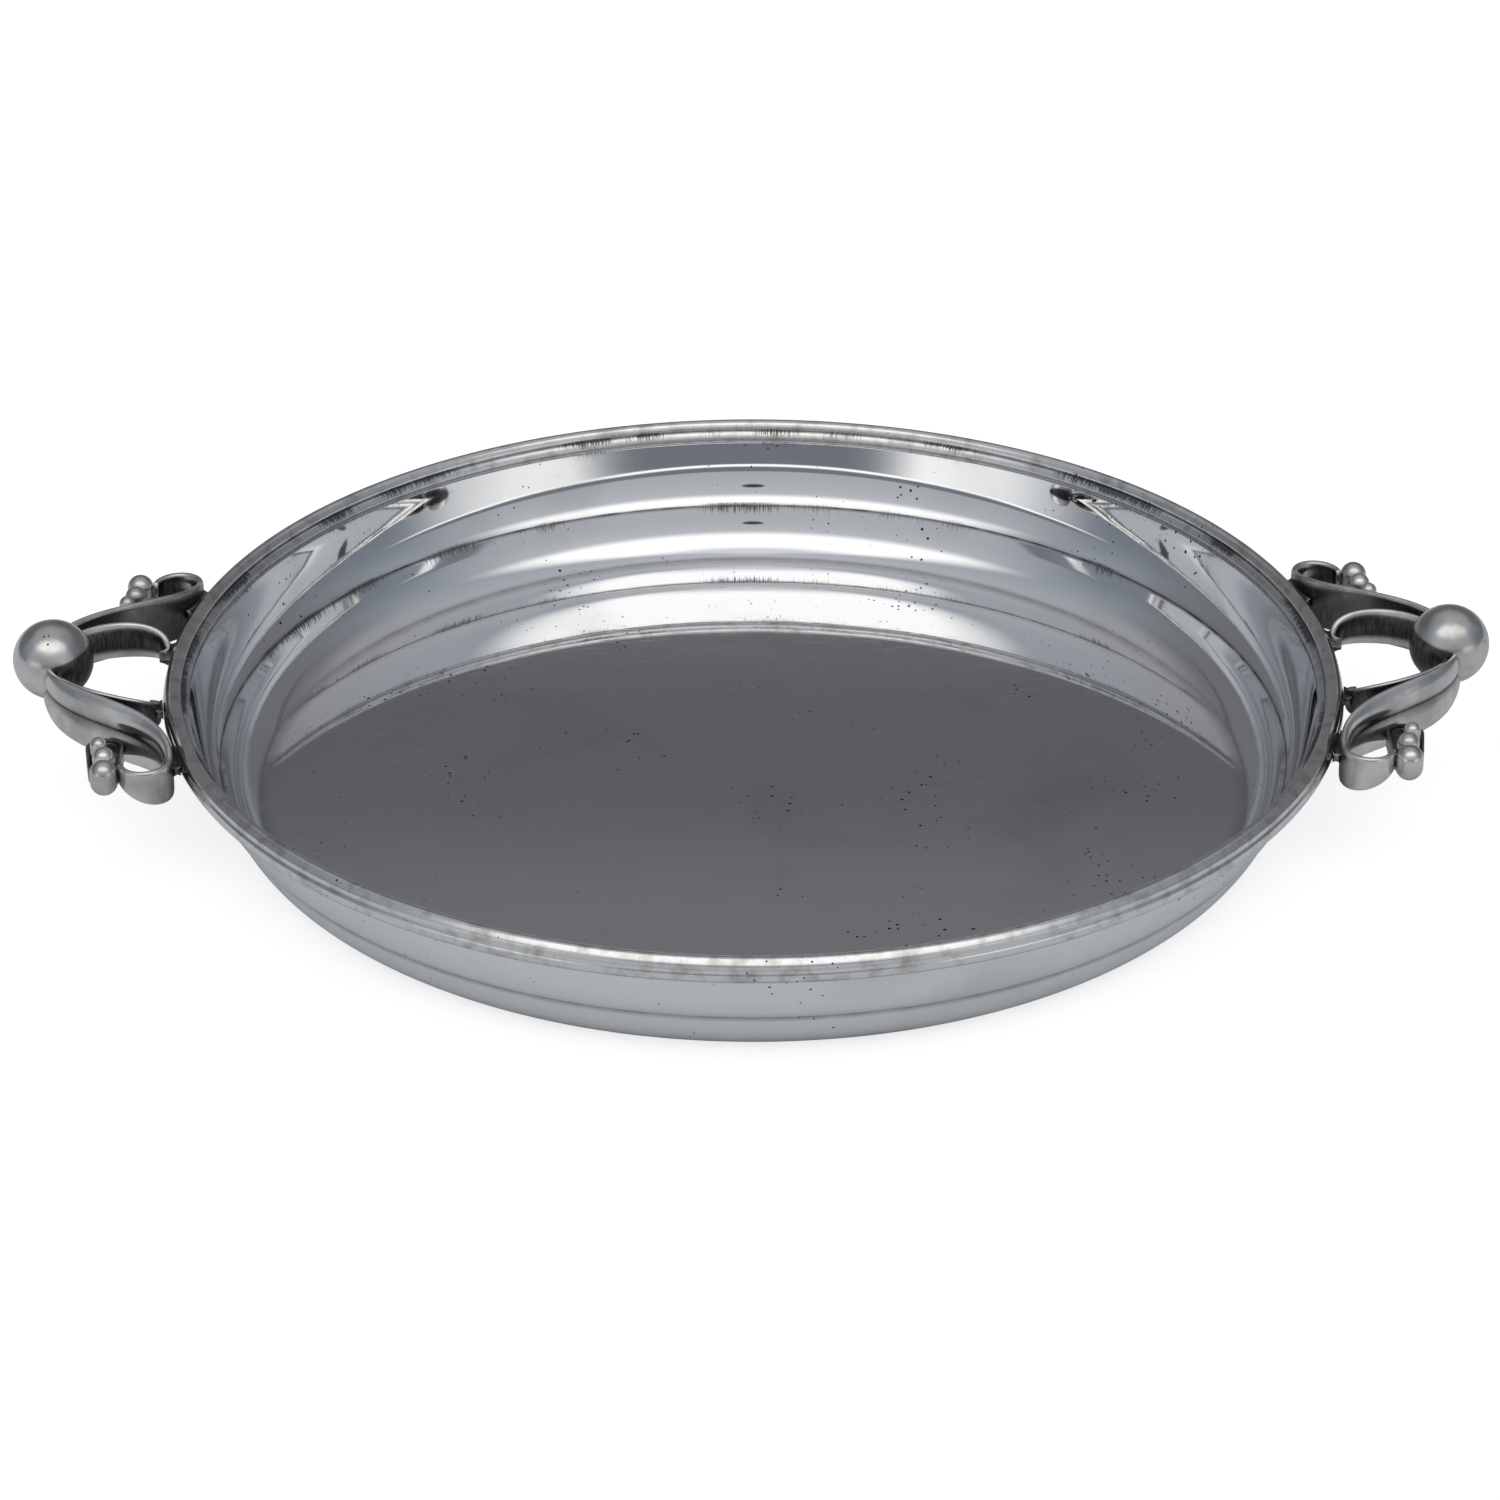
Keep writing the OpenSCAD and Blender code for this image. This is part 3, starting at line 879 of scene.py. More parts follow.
@dataclass
class Dish:
    """Spun dish: flat floor, fillet, cove, ridge and an upper step that runs up under the rim band."""

    rim: RimBand
    sheet: float = 1.2
    upper_step: float = 5.9
    lower_step: float = 7.9
    ridge_h: float = 11.3
    floor_fillet: float = 0.9
    cove: Wall = Wall(foot_angle=61.0, head_angle=23.0, foot_pull=0.485, head_pull=0.31)
    step: Wall = Wall(foot_angle=45.0, head_angle=15.0, foot_pull=0.16, head_pull=0.73)
    polish: Polish = Polish(radius=0.12, points=190, flat=4.0, turn=5.0)
    line_grime: float = 0.28
    ridge_film: float = 1.0
    mitre_film: float = 0.7
    # Painted shade in the fillet at the floor's edge: its reach and strength.
    edge_shade_reach: float = 0.6
    edge_shade: float = 0.4
    # Painted reflection of the shadow under the tray: a dark ring round the outer foot, its reach and strength.
    foot_shade_reach: float = 4.6
    foot_darkening: float = 0.85
    wear: float = 1.5
    rim_wear: float = 0.7
    turns: int = 400

    def build(self) -> None:
        """Builds and dresses the dish.

        The section runs from the floor's centre out and up the inside to the edge, then back down the outside
        to the underside's centre, and is then reversed. There is a mitre behind the ridge. Film lies along
        the ridge and worn strokes below the ridge and the rim. Painted shade darkens the floor's edge in the
        fillet, and a ring round the foot is a painted reflection of the shadow under the tray.
        """
        sheet, fillet, foot_angle = self.sheet, self.floor_fillet, self.cove.foot_angle
        head = np.array([self.rim.wall_r, self.rim.wall_top])
        ridge = np.array([head[0] - self.upper_step, self.ridge_h])
        fillet_mid = np.array([ridge[0] - self.lower_step, sheet + fillet])
        cove_in, cove_out = self.cove.faces(fillet_mid + fillet * ring(-foot_angle), ridge, sheet)
        step_in, step_out = self.step.faces(ridge, head, sheet)
        mitre_way = ring(90 - (self.step.foot_angle + self.cove.head_angle) / 2)
        half = np.radians((self.step.foot_angle - self.cove.head_angle) / 2)
        mitre = ridge + sheet / np.cos(half) * right_of(mitre_way)
        line = np.vstack(
            [
                [[0, sheet]],
                arc(fillet_mid, fillet, -90, -foot_angle),
                cove_in[1:],
                step_in[1:],
                step_out[(step_out - mitre) @ mitre_way > 0][::-1],
                [mitre],
                cove_out[(cove_out - mitre) @ mitre_way < 0][::-1],
                arc(fillet_mid, fillet + sheet, -foot_angle, -90)[1:],
                [[0, 0]],
            ]
        )
        section = self.polish.section(line)[::-1]
        inside = np.arange(len(section)) > np.argmax(section[:, 1])
        tarnish_and_shade = darkening_along(
            section,
            (ridge, self.ridge_film, self.line_grime),
            (mitre, self.mitre_film, self.line_grime),
            # Painted shade along the fillet at the floor's edge.
            (np.array([fillet_mid[0], sheet]), self.edge_shade, self.edge_shade_reach),
        )
        # Painted reflection of the table's shadow under the tray, as a dark ring round the outer foot.
        foot = np.array([fillet_mid[0] + sheet, 0])
        tarnish_and_shade = np.maximum(tarnish_and_shade, self.foot_darkening * near(section, foot, self.foot_shade_reach) * ~inside)
        below_ridge = inside & (section[:, 1] < self.ridge_h + self.line_grime)
        below_rim = self.rim_wear * near(section, head, self.wear) * inside
        wear = np.maximum(near(section, ridge, self.wear) * below_ridge, below_rim)
        piece = lathe("spun_dish", section, self.turns, {"tarnish_and_shade": tarnish_and_shade, "wear": wear})
        dress(piece, BuffedSheet(), "tray_body")


@dataclass
class Ball:
    """Ball where the strips of a handle meet."""

    side: Side
    # Strength and shape of the painted dark reflection on the lower side towards the finger gap.
    film: float = 0.92
    dark_reflection_top: float = 0.28
    dark_reflection_rise: float = 0.22
    dark_reflection_edge: float = 0.09
    across: int = 96
    turns: int = 128

    def build(self) -> None:
        """Builds a sphere about the node's centre: the section is a half circle from pole to pole.

        The side towards the finger gap is darkened up to a level that rises towards the rim, as a painted
        dark reflection of the rim and the handle's strips.
        """
        node = f"{self.side.name.lower()}_ball"
        low, high = (np.array(corner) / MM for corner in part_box(node))
        mid = (low + high) / 2
        radius = (high[2] - low[2]) / 2
        section = arc(np.array([0, mid[2]]), radius, -90, 90, self.across)
        piece = lathe(f"{node}_satin", section, self.turns, {}, mid=mid[:2])
        points = np.empty(3 * len(piece.data.vertices))
        piece.data.vertices.foreach_get("co", points)
        # Painted dark reflection: the lower side facing the finger gap is darkened in the tarnish attribute.
        out = (points.reshape(-1, 3) / MM - mid) / radius
        inward = -self.side.value * out[:, 0]
        under = self.dark_reflection_top + self.dark_reflection_rise * inward - out[:, 2]
        shade(piece, "tarnish_and_shade", self.film * ease(under / self.dark_reflection_edge) * ease(inward / self.dark_reflection_edge))
        dress(piece, CastSilver(), node)


@dataclass
class Run:
    """Stations along a bent strip, as whole arrays."""

    middle: Array
    way: Array
    top: Array
    height: Array
    relief: Array
    lean: Array

    @classmethod
    def curled(
        cls,
        curve: Array,
        mid: Array,
        sweep: float,
        sink: float,
        tip_h: float,
        counts: tuple[int, int],
        lean: float = 0.0,
        delay: float = 1.0,
    ) -> "Run":
        """Follows a cubic in plan and height, and then a circle from the cubic's end to the strip's tip.

        Round the circle the upper edge sinks evenly, the height eases to the tip's and the relief fades out.

        Args:
            curve: Control points [x, y, top, height] of the cubic, which ends at the circle's left.
            mid: Centre of the circle.
            sweep: Angle along the circle, counter-clockwise if positive.
            sink: Fall of the upper edge round the circle.
            tip_h: Height of the strip at its tip.
            counts: Stations along the cubic and round the circle.
            lean: How far the lower edge leans out halfway along the cubic.
            delay: Power that holds the taper back at first.

        Returns:
            The stations.
        """
        t, s = np.linspace(0, 1, counts[0], endpoint=False), np.linspace(0, 1, counts[1])
        line, end = bezier(curve, t), curve[-1]
        spoke = ring(180 + sweep * s)
        return cls(
            np.vstack([line[:, :2], mid + np.hypot(*(end[:2] - mid)) * spoke]),
            np.vstack([bezier_way(curve, t), -np.sign(sweep) * right_of(spoke)]),
            np.append(line[:, 2], end[2] - sink * s),
            np.append(line[:, 3], mix(end[3], tip_h, ease(s**delay))),
            np.append(np.ones_like(t), 1 - s),
            np.append(lean * hump(t), np.zeros_like(s)),
        )


def rounded(rows: Array, times: int = 2) -> Array:
    """Rounds closed sections: each point becomes half itself and a quarter of each of its neighbours.

    Args:
        rows: Values round the sections, a row for each.
        times: How often it is done.

    Returns:
        The rounded values.
    """
    for _ in range(times):
        rows = 0.5 * rows + 0.25 * (np.roll(rows, 1, axis=1) + np.roll(rows, -1, axis=1))
    return rows


def strip(name: str, run: Run, stretches: list[tuple], place: Place) -> Piece:
    """Carries a section along a run: point = middle + across x right + up x Z, from the strip's lower edge.

    Args:
        name: Name of the piece.
        run: Stations along the strip.
        stretches: The section's stretches in order, each with its offsets to the right of the way, its
            heights over the lower edge and its shares of dark film, which are broadcast to one another.
        place: Quarter that the strip belongs to.

    Returns:
        The new object, with both ends closed.
    """
    columns = zip(*(np.broadcast_arrays(*stretch) for stretch in stretches))
    across, up, tarnish_and_shade = (np.hstack(column) for column in columns)
    across, up = rounded(across), rounded(up)
    across = across + run.lean[:, None] * (1 - up / run.height[:, None])
    plan = run.middle[:, None] + across[..., None] * right_of(run.way)[:, None]
    return bar(name, np.dstack([plan, (run.top - run.height)[:, None] + up]), tarnish_and_shade, place)


@dataclass
class Bow:
    """Line of the scrolls in plan and height, drawn once for the right back quarter."""

    rim: RimBand
    ball_d: float = 17.0
    ball_reach: float = 23.3
    ball_lift: float = 1.9
    root_rise: float = 0.19
    root_drop: float = 0.91
    strip_t: float = 1.3
    rise: float = 4.4
    drop: float = 9.3
    lean: float = 1.6
    lead: float = 0.9
    start: float = 2.2
    spring: float = 0.5
    volute_out: float = 40.8
    volute_r: float = 5.0
    volute_gap: float = 1.4
    volute_h: float = 8.4
    volute_sink: float = 0.3
    curve: Array = field(init=False)
    volute_mid: Array = field(init=False)

    def __post_init__(self) -> None:
        """Works out the control points [x, y, top, height] from the ball and the volute."""
        rim = self.rim
        far = rim.radius + self.volute_gap + self.strip_t / 2 + self.volute_r
        self.volute_mid = np.array([np.sqrt(far**2 - self.volute_out**2), self.volute_out])
        out = rim.radius + self.ball_reach + self.lead
        ball_z, ball_r = rim.top + self.ball_lift, self.ball_d / 2
        pull = (self.volute_out - self.start) / 2 + self.spring
        root_top, root_foot = ball_z + self.root_rise * ball_r, ball_z - self.root_drop * ball_r
        top, foot = rim.top + self.rise, rim.top - self.drop
        side = self.volute_mid[0] - self.volute_r
        self.curve = np.array(
            [
                [out, self.start, root_top, root_top - root_foot],
                [out, self.start + pull, top, top - foot],
                [side, self.volute_out - pull, top, top - foot],
                [side, self.volute_out, rim.top - self.volute_sink, self.volute_h],
            ]
        )

    def at(self, t: Array | float) -> Array:
        """Plan points of the line, a row for each place."""
        return bezier(self.curve, t)[:, :2]

    def way(self, t: Array | float) -> Array:
        """Plan directions of the line, a row for each place."""
        return bezier_way(self.curve, t)


@dataclass
class Scroll:
    """Reeded strip from the ball to the rim, ending in a volute that tapers to its tip."""

    bow: Bow
    reed: float = 0.7
    reed_split: float = 0.55
    bevel: float = 0.25
    volute_turn: float = 172.0
    tip_h: float = 4.4
    tip_sink: float = 0.9
    taper_delay: float = 1.5
    stations: tuple[int, int] = (90, 60)
    face_points: int = 16
    edge_points: int = 4
    reed_points: int = 17
    line_power: float = 9.0
    # Inner face darkening: partly tarnish, partly painted shade towards the rim.
    inner_tarnish_and_shade: Range = (0.3, 1.0)
    inner_fade: float = 0.5
    fade_power: int = 4
    curl_film: float = 0.95
    curl_rise: float = 6.0
    curl_from: float = 0.22
    curl_share: float = 0.35
    foot_darkening: float = 0.5

    def run(self) -> Run:
        """Stations of the scroll: the cubic bow, then part of a circle round the volute's centre.

        Returns:
            The stations, with the reeds fading out over the volute.
        """
        bow, sink = self.bow, self.tip_sink - self.bow.volute_sink
        turn = (bow.curve, bow.volute_mid, -self.volute_turn, sink, self.tip_h, self.stations)
        return Run.curled(*turn, lean=bow.lean, delay=self.taper_delay)

    def build(self, place: Place) -> None:
        """Builds a scroll: a flat inner face, and an outer face of two half-sine reeds.

        Film lies in the line between the reeds and inside the volute, and the lower edge is darker. The bow's
        inner face is darkened more towards the rim and less below the upper edge: partly tarnish, partly
        painted shade.

        Args:
            place: Quarter to build.
        """
        run = self.run()
        rise, height = self.reed * run.relief[:, None], run.height[:, None]
        half, e = self.bow.strip_t / 2, self.bevel
        k, face = np.linspace(0, 1, self.reed_points), np.linspace(0, 1, self.face_points)
        edge = np.linspace(e - half, half - e, self.edge_points)
        reed = half + rise * np.sin(np.pi * k)
        valley = mix(e, height - e, self.reed_split)
        turned = (1 - run.relief)[:, None]
        along = (np.arange(len(height)) / np.sum(run.relief == 1))[:, None]
        shown = 1 - ease(turned / self.curl_share)
        curled = self.curl_film * ease((turned - self.curl_from) / self.curl_share)
        line = (1 - turned) * k**self.line_power
        faded = 1 - self.inner_fade * face**self.fade_power
        stretches = [
            # Inner face: darker towards the rim and lighter below the upper edge, partly tarnish, partly
            # painted shade.
            (-half, mix(e, height - e, face), mix(*self.inner_tarnish_and_shade, ease(along)) * shown * faded),
            (edge, height, 0),
            (reed, mix(height - e, valley, k), np.maximum(line, curled * np.minimum(self.curl_rise * k, 1))),
            (reed[:, 1:], mix(valley, e, k[1:]), np.maximum(line[:, -2::-1], curled)),
            (edge[::-1], 0 * height, self.foot_darkening),
        ]
        name = f"{place.name}_scroll"
        dress(strip(f"{name}_strip", run, stretches, place), CastSilver(), name)


@dataclass
class Leaf:
    """Arched strip inside each scroll, with a small curl at the rim."""

    bow: Bow
    thick: float = 1.2
    height: float = 9.2
    swell: float = 0.8
    foot: float = 13.0
    gap: float = 0.5
    curl_r: float = 1.3
    place_on_bow: float = 0.08
    spread: float = 8.0
    pull: float = 12.0
    root_rise: float = 2.2
    lead_rise: float = 3.2
    foot_sink: float = 2.0
    fall: float = 7.5
    root_share: float = 0.73
    foot_share: float = 0.5
    tip_share: float = 0.3
    curl_sink: float = 0.5
    curl_sweep: float = 105.0
    seam: float = 0.05
    bevel: float = 0.25
    stations: tuple[int, int] = (70, 30)
    swell_points: int = 17
    face_points: int = 12
    edge_points: int = 4
    # Dark band on the inner face: partly tarnish, partly a painted dark reflection.
    band_tarnish_and_reflection: float = 0.95
    band_foot: float = 0.12
    band_rise: float = 0.2
    band_head: float = 0.97
    band_fall: float = 0.12
    outer_film: float = 0.9
    foot_darkening: float = 0.4

    @property
    def foot_at(self) -> Array:
        """Plan point where the arch reaches the rim and the curl starts."""
        reach = self.bow.rim.radius + self.gap + self.thick / 2
        return np.array([np.sqrt(reach**2 - self.foot**2), self.foot])

    def run(self) -> Run:
        """Stations of the leaf: a cubic arch from the scroll, then a small curl at the rim.

        Returns:
            The stations, with the swelling fading out over the curl.
        """
        top = self.bow.rim.top
        way = self.bow.way(self.place_on_bow)[0]
        aside = self.bow.strip_t / 2 + self.thick / 2 + self.seam
        start = self.bow.at(self.place_on_bow)[0] - aside * right_of(way)
        heading = np.degrees(np.arctan2(way[1], way[0])) + self.spread
        foot_x = self.foot_at[0]
        curve = np.array(
            [
                [*start, top + self.root_rise, self.root_share * self.height],
                [*(start + self.pull * ring(heading)), top + self.lead_rise, self.height],
                [foot_x, self.foot + self.fall, top + self.root_rise, self.height],
                [foot_x, self.foot, top - self.foot_sink, self.foot_share * self.height],
            ]
        )
        curl_mid = np.array([foot_x + self.curl_r, self.foot])
        tip_h = self.tip_share * self.height
        return Run.curled(curve, curl_mid, self.curl_sweep, self.curl_sink, tip_h, self.stations)

    def build(self, place: Place) -> None:
        """Builds a leaf: a flat outer face, and a half-sine swelling towards the finger gap.

        Film lies on the outer face. A broad dark band along the middle of the inner face is partly tarnish and
        partly a painted dark reflection.

        Args:
            place: Quarter to build.
        """
        run = self.run()
        rise, height = self.swell * run.relief[:, None], run.height[:, None]
        half, e = self.thick / 2, self.bevel
        k, face = np.linspace(0, 1, self.swell_points), np.linspace(0, 1, self.face_points)
        edge = np.linspace(e - half, half - e, self.edge_points)
        band = ease((k - self.band_foot) / self.band_rise) * ease((self.band_head - k) / self.band_fall)
        stretches = [
            # Inner face: a dark band, partly tarnish and partly a painted dark reflection.
            (-half - rise * np.sin(np.pi * k), mix(e, height - e, k), self.band_tarnish_and_reflection * band),
            (edge, height, 0),
            (half, mix(height - e, e, face), self.outer_film),
            (edge[::-1], 0 * height, self.foot_darkening),
        ]
        name = f"{place.name}_leaf"
        dress(strip(f"{name}_strip", run, stretches, place), CastSilver(), name)


@dataclass
class StudRow:
    """Cup soldered to the scroll, and the row of three domed studs that it leads to the volute."""

    bow: Bow
    scroll: Scroll
    large_d: float = 5.7
    medium_d: float = 4.7
    small_d: float = 3.6
    medium_pitch: float = 5.6
    small_pitch: float = 4.6
    small_side: float = 1.0
    stud_lift: float = 0.3
    stud_angle: float = 12.0
    stud_room: float = 0.25
    cup_w: float = 7.8
    cup_t: float = 0.8
    cup_floor: float = 0.9
    cup_drop: float = 3.65
    cup_h: float = 3.7
    cup_place: float = 0.58
    lean_share: float = 0.75
    mouth_gap: float = 0.5
    mouth_tuck: float = 0.25
    fill_drop: float = 0.9
    seam: float = 0.05
    stud_polish: Polish = Polish(radius=0.1, points=40, flat=1.0, turn=6.0)
    cup_polish: Polish = Polish(radius=0.22, points=44, flat=1.0, turn=10.0)
    dome_points: int = 24
    stud_turns: int = 64
    side_stations: int = 10
    end_stations: int = 41
    large_film: float = 0.35
    post_film: float = 1.0
    fill_film: float = 0.8
    cup_film: float = 0.25
    start: Array = field(init=False)
    way: Array = field(init=False)
    long: float = field(init=False)

    def __post_init__(self) -> None:
        """Works out the row's line, from the cup's round end at the scroll to the large stud."""
        bow = self.bow
        reach = bow.volute_r + bow.strip_t / 2 + self.seam + self.large_d / 2
        large = bow.volute_mid + reach * ring(self.stud_angle)
        lean = self.lean_share * bow.lean * float(hump(self.cup_place))
        off = bow.strip_t / 2 + self.scroll.reed + lean + self.seam + self.cup_w / 2
        self.start = bow.at(self.cup_place)[0] + off * right_of(bow.way(self.cup_place)[0])
        self.way = unit(large - self.start)
        self.long = float(np.hypot(*(large - self.start)))

    @property
    def cup_foot(self) -> float:
        """Height of the cup's underside."""
        return self.bow.rim.top - self.cup_drop - self.cup_h

    def stud_section(self, across: float, foot: float, round_foot: bool) -> Array:
        """Section of a stud: a straight post under a half-round dome.

        Args:
            across: Diameter of the stud.
            foot: Height of its lower end.
            round_foot: Whether the lower end is a half-round too.

        Returns:
            Points (radius, height) from the lower end to the top.
        """
        half = across / 2
        top = self.bow.rim.top + self.stud_lift
        dome = arc(np.array([0, top - half]), half, 0, 90, self.dome_points)
        base = np.array([[0, foot], [half, foot]])
        if round_foot:
            base = arc(np.array([0, foot + half]), half, -90, 0, self.dome_points)
        line = np.vstack([base, dome])
        line[[0, -1], 0] = 0
        return self.stud_polish.section(line)

    def build_studs(self, place: Place) -> None:
        """Builds the three studs of a quarter, with film gathering towards their feet.

        Args:
            place: Quarter to build.
        """
        large = self.start + self.long * self.way
        medium = large - self.medium_pitch * self.way
        small = medium - self.small_pitch * self.way + self.small_side * right_of(self.way)
        floor = self.cup_foot + self.cup_floor + self.seam
        studs = (
            ("large_stud", large, self.large_d, self.cup_foot, True),
            ("medium_stud", medium, self.medium_d, floor, False),
            ("small_stud", small, self.small_d, floor, False),
        )
        for kind, at, across, foot, round_foot in studs:
            name = f"{place.name}_{kind}"
            section = self.stud_section(across, foot, round_foot)
            spring = section[-1, 1] - across / 2
            deep = np.clip((spring - section[:, 1]) / (spring - foot), 0, 1)
            tarnish_and_shade = deep * (self.large_film if round_foot else self.post_film)
            mid = place.put(np.append(at, 0.0))[:2]
            piece = lathe(f"{name}_dome", section, self.stud_turns, {"tarnish_and_shade": tarnish_and_shade}, mid=mid)
            dress(piece, CastSilver(), name)

    def build_cup(self, place: Place) -> None:
        """Builds a cup with its solder: a section of fill and wall carried round a U with a narrower mouth.

        Each station has a point on the cup's axis and a direction out of it: square to the axis along the two
        sides and turning by half a circle at the round end. The section's distances count from that point,
        and along the sides they shrink in proportion to the cup's width there.

        Args:
            place: Quarter to build.
        """
        length = self.long - self.large_d / 2 - self.mouth_gap
        out, wall, deep = self.cup_w / 2, self.cup_t, self.cup_h
        stops = [0, self.long - self.medium_pitch, length]
        widths = [out, self.medium_d / 2 + self.stud_room + wall, self.large_d / 2 - self.mouth_tuck]
        level = deep - self.fill_drop
        corners = [[0, 0], [out, 0], [out, deep], [out - wall, deep], [out - wall, level], [0, level]]
        section = self.cup_polish.section(np.array(corners))
        side = np.linspace(1, 0, self.side_stations, endpoint=False)
        turn = np.linspace(90, 270, self.end_stations)
        share = np.concatenate([side, np.zeros_like(turn), side[::-1]])
        angle = np.concatenate([np.full_like(side, 90), turn, np.full_like(side, 270)])
        reach = section[None, :, 0] * np.interp(length * share, stops, widths)[:, None] / out
        axis = np.stack([length * share, 0 * share], axis=-1)
        local = axis[:, None] + reach[..., None] * ring(angle)[:, None]
        plan = self.start + local[..., :1] * self.way - local[..., 1:] * right_of(self.way)
        grid = np.dstack([plan, self.cup_foot + np.broadcast_to(section[:, 1], plan.shape[:2])])
        index = np.arange(grid.shape[0] * grid.shape[1]).reshape(grid.shape[:2])
        quads = np.stack([index[:-1, :-1], index[1:, :-1], index[1:, 1:], index[:-1, 1:]], axis=-1)
        faces = quads.reshape(-1, 4).tolist() + [index[0].tolist(), index[-1, ::-1].tolist()]
        inside = (section[:, 0] < out - wall / 2) & (section[:, 1] > level / 2)
        tarnish_and_shade = np.broadcast_to(np.where(inside, self.fill_film, self.cup_film), plan.shape[:2])
        name = f"{place.name}_cup"
        piece = new_piece(f"{name}_shell", grid.reshape(-1, 3), faces, {"tarnish_and_shade": tarnish_and_shade}, place)
        dress(piece, OxidisedSilver(), name)


@dataclass
class SolderPads:
    """Solder between the rim's face and the strips that come up to it: dark partly from oxide, partly painted
    shade.
    """

    bow: Bow
    leaf: Leaf
    scroll_from: float = 0.8
    scroll_to: float = 1.0
    leaf_long: float = 2.6
    seam: float = 0.05
    neck: float = 0.18
    stations: int = 24
    across_points: int = 9
    side_points: int = 5
    film: float = 0.4

    def build_pad(self, place: Place, kind: str, strip_side: Array) -> None:
        """Builds a pad: a bar from the rim's face to the strip's side, thinner halfway, along the strip.

        Each station's section goes round a rectangle from the rim to the strip and from the node's lower to
        its upper face, and its height is pinched by a half sine of the way across, as solder draws in.

        Args:
            place: Quarter to build.
            kind: Which pad, scroll_lug or leaf_lug.
            strip_side: Plan points along the side of the strip, one to a row.
        """
        name = f"{place.name}_{kind}"
        low, high = (float(corner[2]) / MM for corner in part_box(name))
        rim_side = (self.bow.rim.radius + self.seam) * unit(strip_side)
        k = np.linspace(0, 1, self.across_points)
        rise = np.linspace(0, 1, self.side_points + 2)[1:-1]
        share = np.concatenate([k, np.ones_like(rise), k[::-1], np.zeros_like(rise)])
        level = np.concatenate([np.zeros_like(k), rise, np.ones_like(k), rise[::-1]])
        pinch = self.neck * np.sin(np.pi * share)
        plan = mix(rim_side[:, None], strip_side[:, None], share[None, :, None])
        height = np.broadcast_to(mix(low, high, mix(pinch, 1 - pinch, level)), plan.shape[:2])
        # Painted shade in part: the pad's dark fills the shaded gap between strip and rim, over the solder's
        # own oxide.
        tarnish_and_shade = np.full(plan.shape[:2], self.film)
        dress(bar(f"{name}_pad", np.dstack([plan, height]), tarnish_and_shade, place), OxidisedSilver(), name)

    def build(self, place: Place) -> None:
        """Builds the two pads of a quarter.

        Args:
            place: Quarter to build.
        """
        t = np.linspace(self.scroll_from, self.scroll_to, self.stations)
        beside = self.bow.strip_t / 2 + self.seam
        self.build_pad(place, "scroll_lug", self.bow.at(t) - beside * right_of(self.bow.way(t)))
        run = self.leaf.run()
        beside = run.middle + (self.leaf.thick / 2 + self.seam) * right_of(run.way)
        close = np.linalg.norm(run.middle - self.leaf.foot_at, axis=1) < self.leaf_long
        self.build_pad(place, "leaf_lug", beside[close])


@dataclass(frozen=True)
class Panel:
    """Soft-edged patch of the studio's surround.

    It shows between the elevations and the shares of facing the front that it names: from the first of
    each to the second it fades in, and from the third to the fourth it fades out. The level is how bright
    its white is.
    """

    label: str
    up: tuple[float, float, float, float]
    front: tuple[float, float, float, float]
    low: str
    high: str
    level: float = 1.0

    def over(self, tree: Tree, colour: Socket, rise: Socket, facing: Socket) -> Socket:
        """Lays the panel over what is behind it, with its tone going evenly from low to high.

        Args:
            tree: Node tree of the world.
            colour: Socket with the colour behind the panel.
            rise: Socket with a direction's elevation in degrees.
            facing: Socket with how far a direction faces the front, 1 to -1.

        Returns:
            Socket with the colour after the panel.
        """
        share = 1.0
        for value, corners in ((rise, self.up), (facing, self.front)):
            for start, full in (corners[:2], corners[:1:-1]):
                step = add_node(tree, "MapRange", (value, start, full), interpolation_type="SMOOTHSTEP")[0]
                share = add_node(tree, "Math", (step, share), operation="MULTIPLY")[0]
        climb = add_node(tree, "MapRange", (rise, self.up[0], self.up[3]))[0]
        low, high = ([self.level * value for value in linear(tone)] for tone in (self.low, self.high))
        tone = add_node(tree, "Mix", {0: climb, 6: low, 7: high}, data_type="RGBA")[2]
        return add_node(tree, "Mix", {0: share, 6: colour, 7: tone}, data_type="RGBA", label=self.label)[2]


def direct_view(tree: Tree) -> Socket:
    """Tells rays from the camera, also through glass, from all others.

    Args:
        tree: Node tree of the material or world.

    Returns:
        Socket that is 1 for them and 0 for all others.
    """
    path = add_node(tree, "LightPath")
    rays = (path["Is Camera Ray"], path["Is Transmission Ray"])
    return add_node(tree, "Math", rays, operation="MAXIMUM")[0]


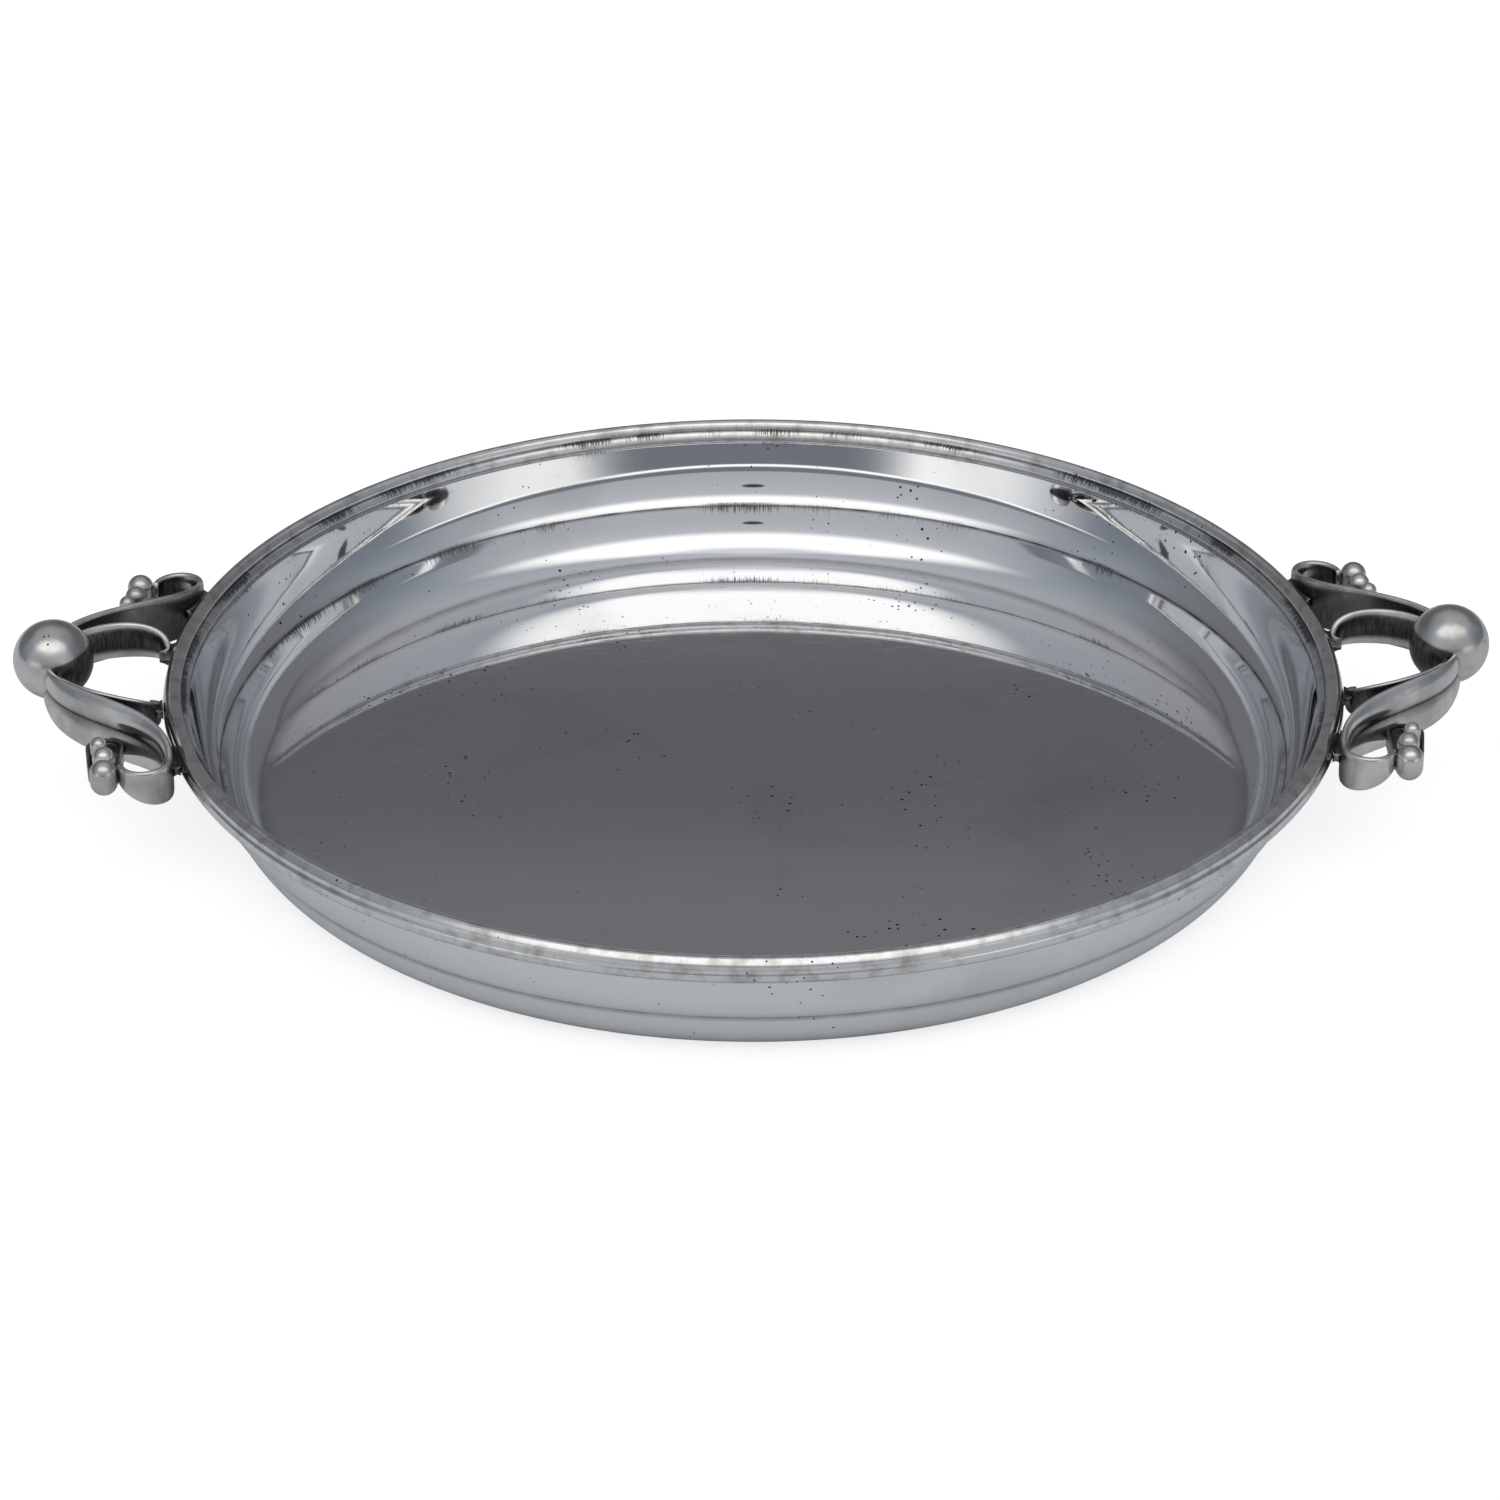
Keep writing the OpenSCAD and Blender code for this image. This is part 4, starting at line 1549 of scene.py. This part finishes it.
@dataclass(frozen=True)
class Studio:
    """Pale table, even soft light and a camera at the photograph's viewing angle."""

    rim_top: float = 29.2
    camera_far: float = 1.0
    camera_turn: float = -1.43
    camera_up: float = 27.358
    pitch: float = 1.1047
    yaw: float = 0.0466
    focus_px: float = 4700.9
    image_px: float = 1500.0
    sensor: float = 36.0
    table: float = 8.0
    table_colour: str = "#D2D5D8"
    table_seen: float = 0.75
    table_mirrored: float = 0.14
    strength: float = 1.25
    lens_up: float = 25.4
    lens_turn: float = -1.3
    lens_half: float = 2.2
    lens_blur: float = 0.15
    lens_tone: str = "#3E4146"
    room_tone: str = "#636467"
    panels: tuple[Panel, ...] = (
        Panel("shelf", (26.3, 28, 28.8, 30.5), (-3, -2, -0.75, -0.45), "#55565A", "#55565A"),
        Panel("ceiling", (30, 46, 90, 91), (-3, -2, 2, 3), "#76787D", "#B2B4B9"),
        Panel("side_walls", (-2, -1, 90, 91), (-0.64, 0.09, 2, 3), "#626972", "#A6ABB2"),
        Panel("front_wall", (-2, -1, 90, 91), (0.09, 0.7, 2, 3), "#92969C", "#C4C7CB"),
        Panel("light_sheet", (37, 52, 72, 84), (0.12, 0.6, 2, 3), "#F8F8F8", "#FFFFFF", 0.97),
        Panel("white_cards", (-2, -1, 10.4, 11), (0.2, 0.75, 0.79, 0.95), "#DFE0E1", "#E4E5E5"),
        Panel("dark_gap", (-2, -1, 10.4, 11), (0.79, 0.95, 2, 3), "#666A70", "#666A70"),
        Panel("bright_edge", (10.2, 10.6, 11, 11.4), (0.1, 0.4, 2, 3), "#F4F4F4", "#F4F4F4"),
        Panel("dark_edge", (11.2, 11.5, 13, 13.8), (0.1, 0.4, 2, 3), "#676B71", "#676B71"),
    )

    def build_camera(self) -> None:
        """Stands the camera at its distance from the rim's centre and aims it a little below."""
        data = bpy.data.cameras.new("photo_camera")
        data.sensor_width = self.sensor
        data.lens = self.focus_px / self.image_px * self.sensor
        camera = bpy.data.objects.new("photo_camera", data)
        mid = np.array([0, 0, self.rim_top * MM])
        camera.location = mid + self.camera_far * towards(self.camera_turn, self.camera_up)
        tilt, turn = np.radians([90 - self.camera_up - self.pitch, self.camera_turn + self.yaw])
        camera.rotation_euler = (tilt, 0, turn)
        bpy.context.scene.collection.objects.link(camera)
        bpy.context.scene.camera = camera

    def build_table(self) -> None:
        """Lays a matt table under the tray, shown white to the camera and a little paler in the silver."""
        half = self.table / 2 / MM
        corners = np.array([[-half, -half, 0], [half, -half, 0], [half, half, 0], [-half, half, 0]])
        table = new_piece("table", corners, [[0, 1, 2, 3]], {})
        material, tree = new_material("white_table_matt_card")
        matt = add_node(tree, "BsdfDiffuse", {"Color": linear(self.table_colour)})[0]
        seen = add_node(tree, "Math", (direct_view(tree), self.table_seen), operation="MULTIPLY")[0]
        pale = (add_node(tree, "LightPath")["Is Glossy Ray"], self.table_mirrored, seen)
        pale = add_node(tree, "Math", pale, operation="MULTIPLY_ADD")[0]
        glow = add_node(tree, "Emission", {"Color": (1, 1, 1, 1), "Strength": pale})[0]
        both = add_node(tree, "AddShader", (matt, glow))[0]
        add_node(tree, "OutputMaterial", {"Surface": both})
        table.data.materials.append(material)

    def build_light(self) -> None:
        """Hangs the surround: a grey room with soft panels and a small dark disc at the camera's lens."""
        world = bpy.data.worlds.new("soft_surround")
        world.use_nodes = True
        tree = world.node_tree
        tree.nodes.clear()
        ray = add_node(tree, "TexCoord")["Generated"]
        height = add_node(tree, "SeparateXYZ", (ray,))["Z"]
        rise = add_node(tree, "Math", (height,), operation="ARCSINE")[0]
        rise = add_node(tree, "Math", (rise,), operation="DEGREES")[0]
        level = add_node(tree, "VectorMath", (ray, (1, 1, 0)), operation="MULTIPLY")[0]
        level = add_node(tree, "VectorMath", (level,), operation="NORMALIZE")[0]
        facing = add_node(tree, "VectorMath", (level, (0, -1, 0)), operation="DOT_PRODUCT")["Value"]
        colour = add_node(tree, "RGB")[0]
        colour.default_value = linear(self.room_tone)
        for panel in self.panels:
            colour = panel.over(tree, colour, rise, facing)
        lens = towards(self.lens_turn, self.lens_up).tolist()
        toward = add_node(tree, "VectorMath", (ray, lens), operation="DOT_PRODUCT")["Value"]
        edges = self.lens_half * np.array([1 + self.lens_blur, 1 - self.lens_blur])
        disc = add_node(tree, "MapRange", (toward, *np.cos(np.radians(edges)).tolist()))[0]
        colour = add_node(tree, "Mix", {0: disc, 6: colour, 7: linear(self.lens_tone)}, data_type="RGBA")[2]
        white = (*[1 / self.strength] * 3, 1)
        colour = add_node(tree, "Mix", {0: direct_view(tree), 6: colour, 7: white}, data_type="RGBA")[2]
        light = add_node(tree, "Background", {"Color": colour, "Strength": self.strength})[0]
        add_node(tree, "OutputWorld", {"Surface": light})
        bpy.context.scene.world = world

    def build(self) -> None:
        """Builds the camera, the table and the light."""
        self.build_camera()
        self.build_table()
        self.build_light()
        bpy.context.scene.view_settings.view_transform = "Standard"


def main() -> None:
    """Builds the tray and its studio."""
    logging.basicConfig(level=logging.INFO)
    rim = RimBand()
    rim.build()
    Dish(rim).build()
    for side in Side:
        Ball(side).build()
    bow = Bow(rim)
    scroll = Scroll(bow)
    leaf = Leaf(bow)
    studs = StudRow(bow, scroll)
    pads = SolderPads(bow, leaf)
    for place in PLACES:
        scroll.build(place)
        leaf.build(place)
        studs.build_studs(place)
        studs.build_cup(place)
        pads.build(place)
    Studio().build()


if __name__ == "__main__":
    main()
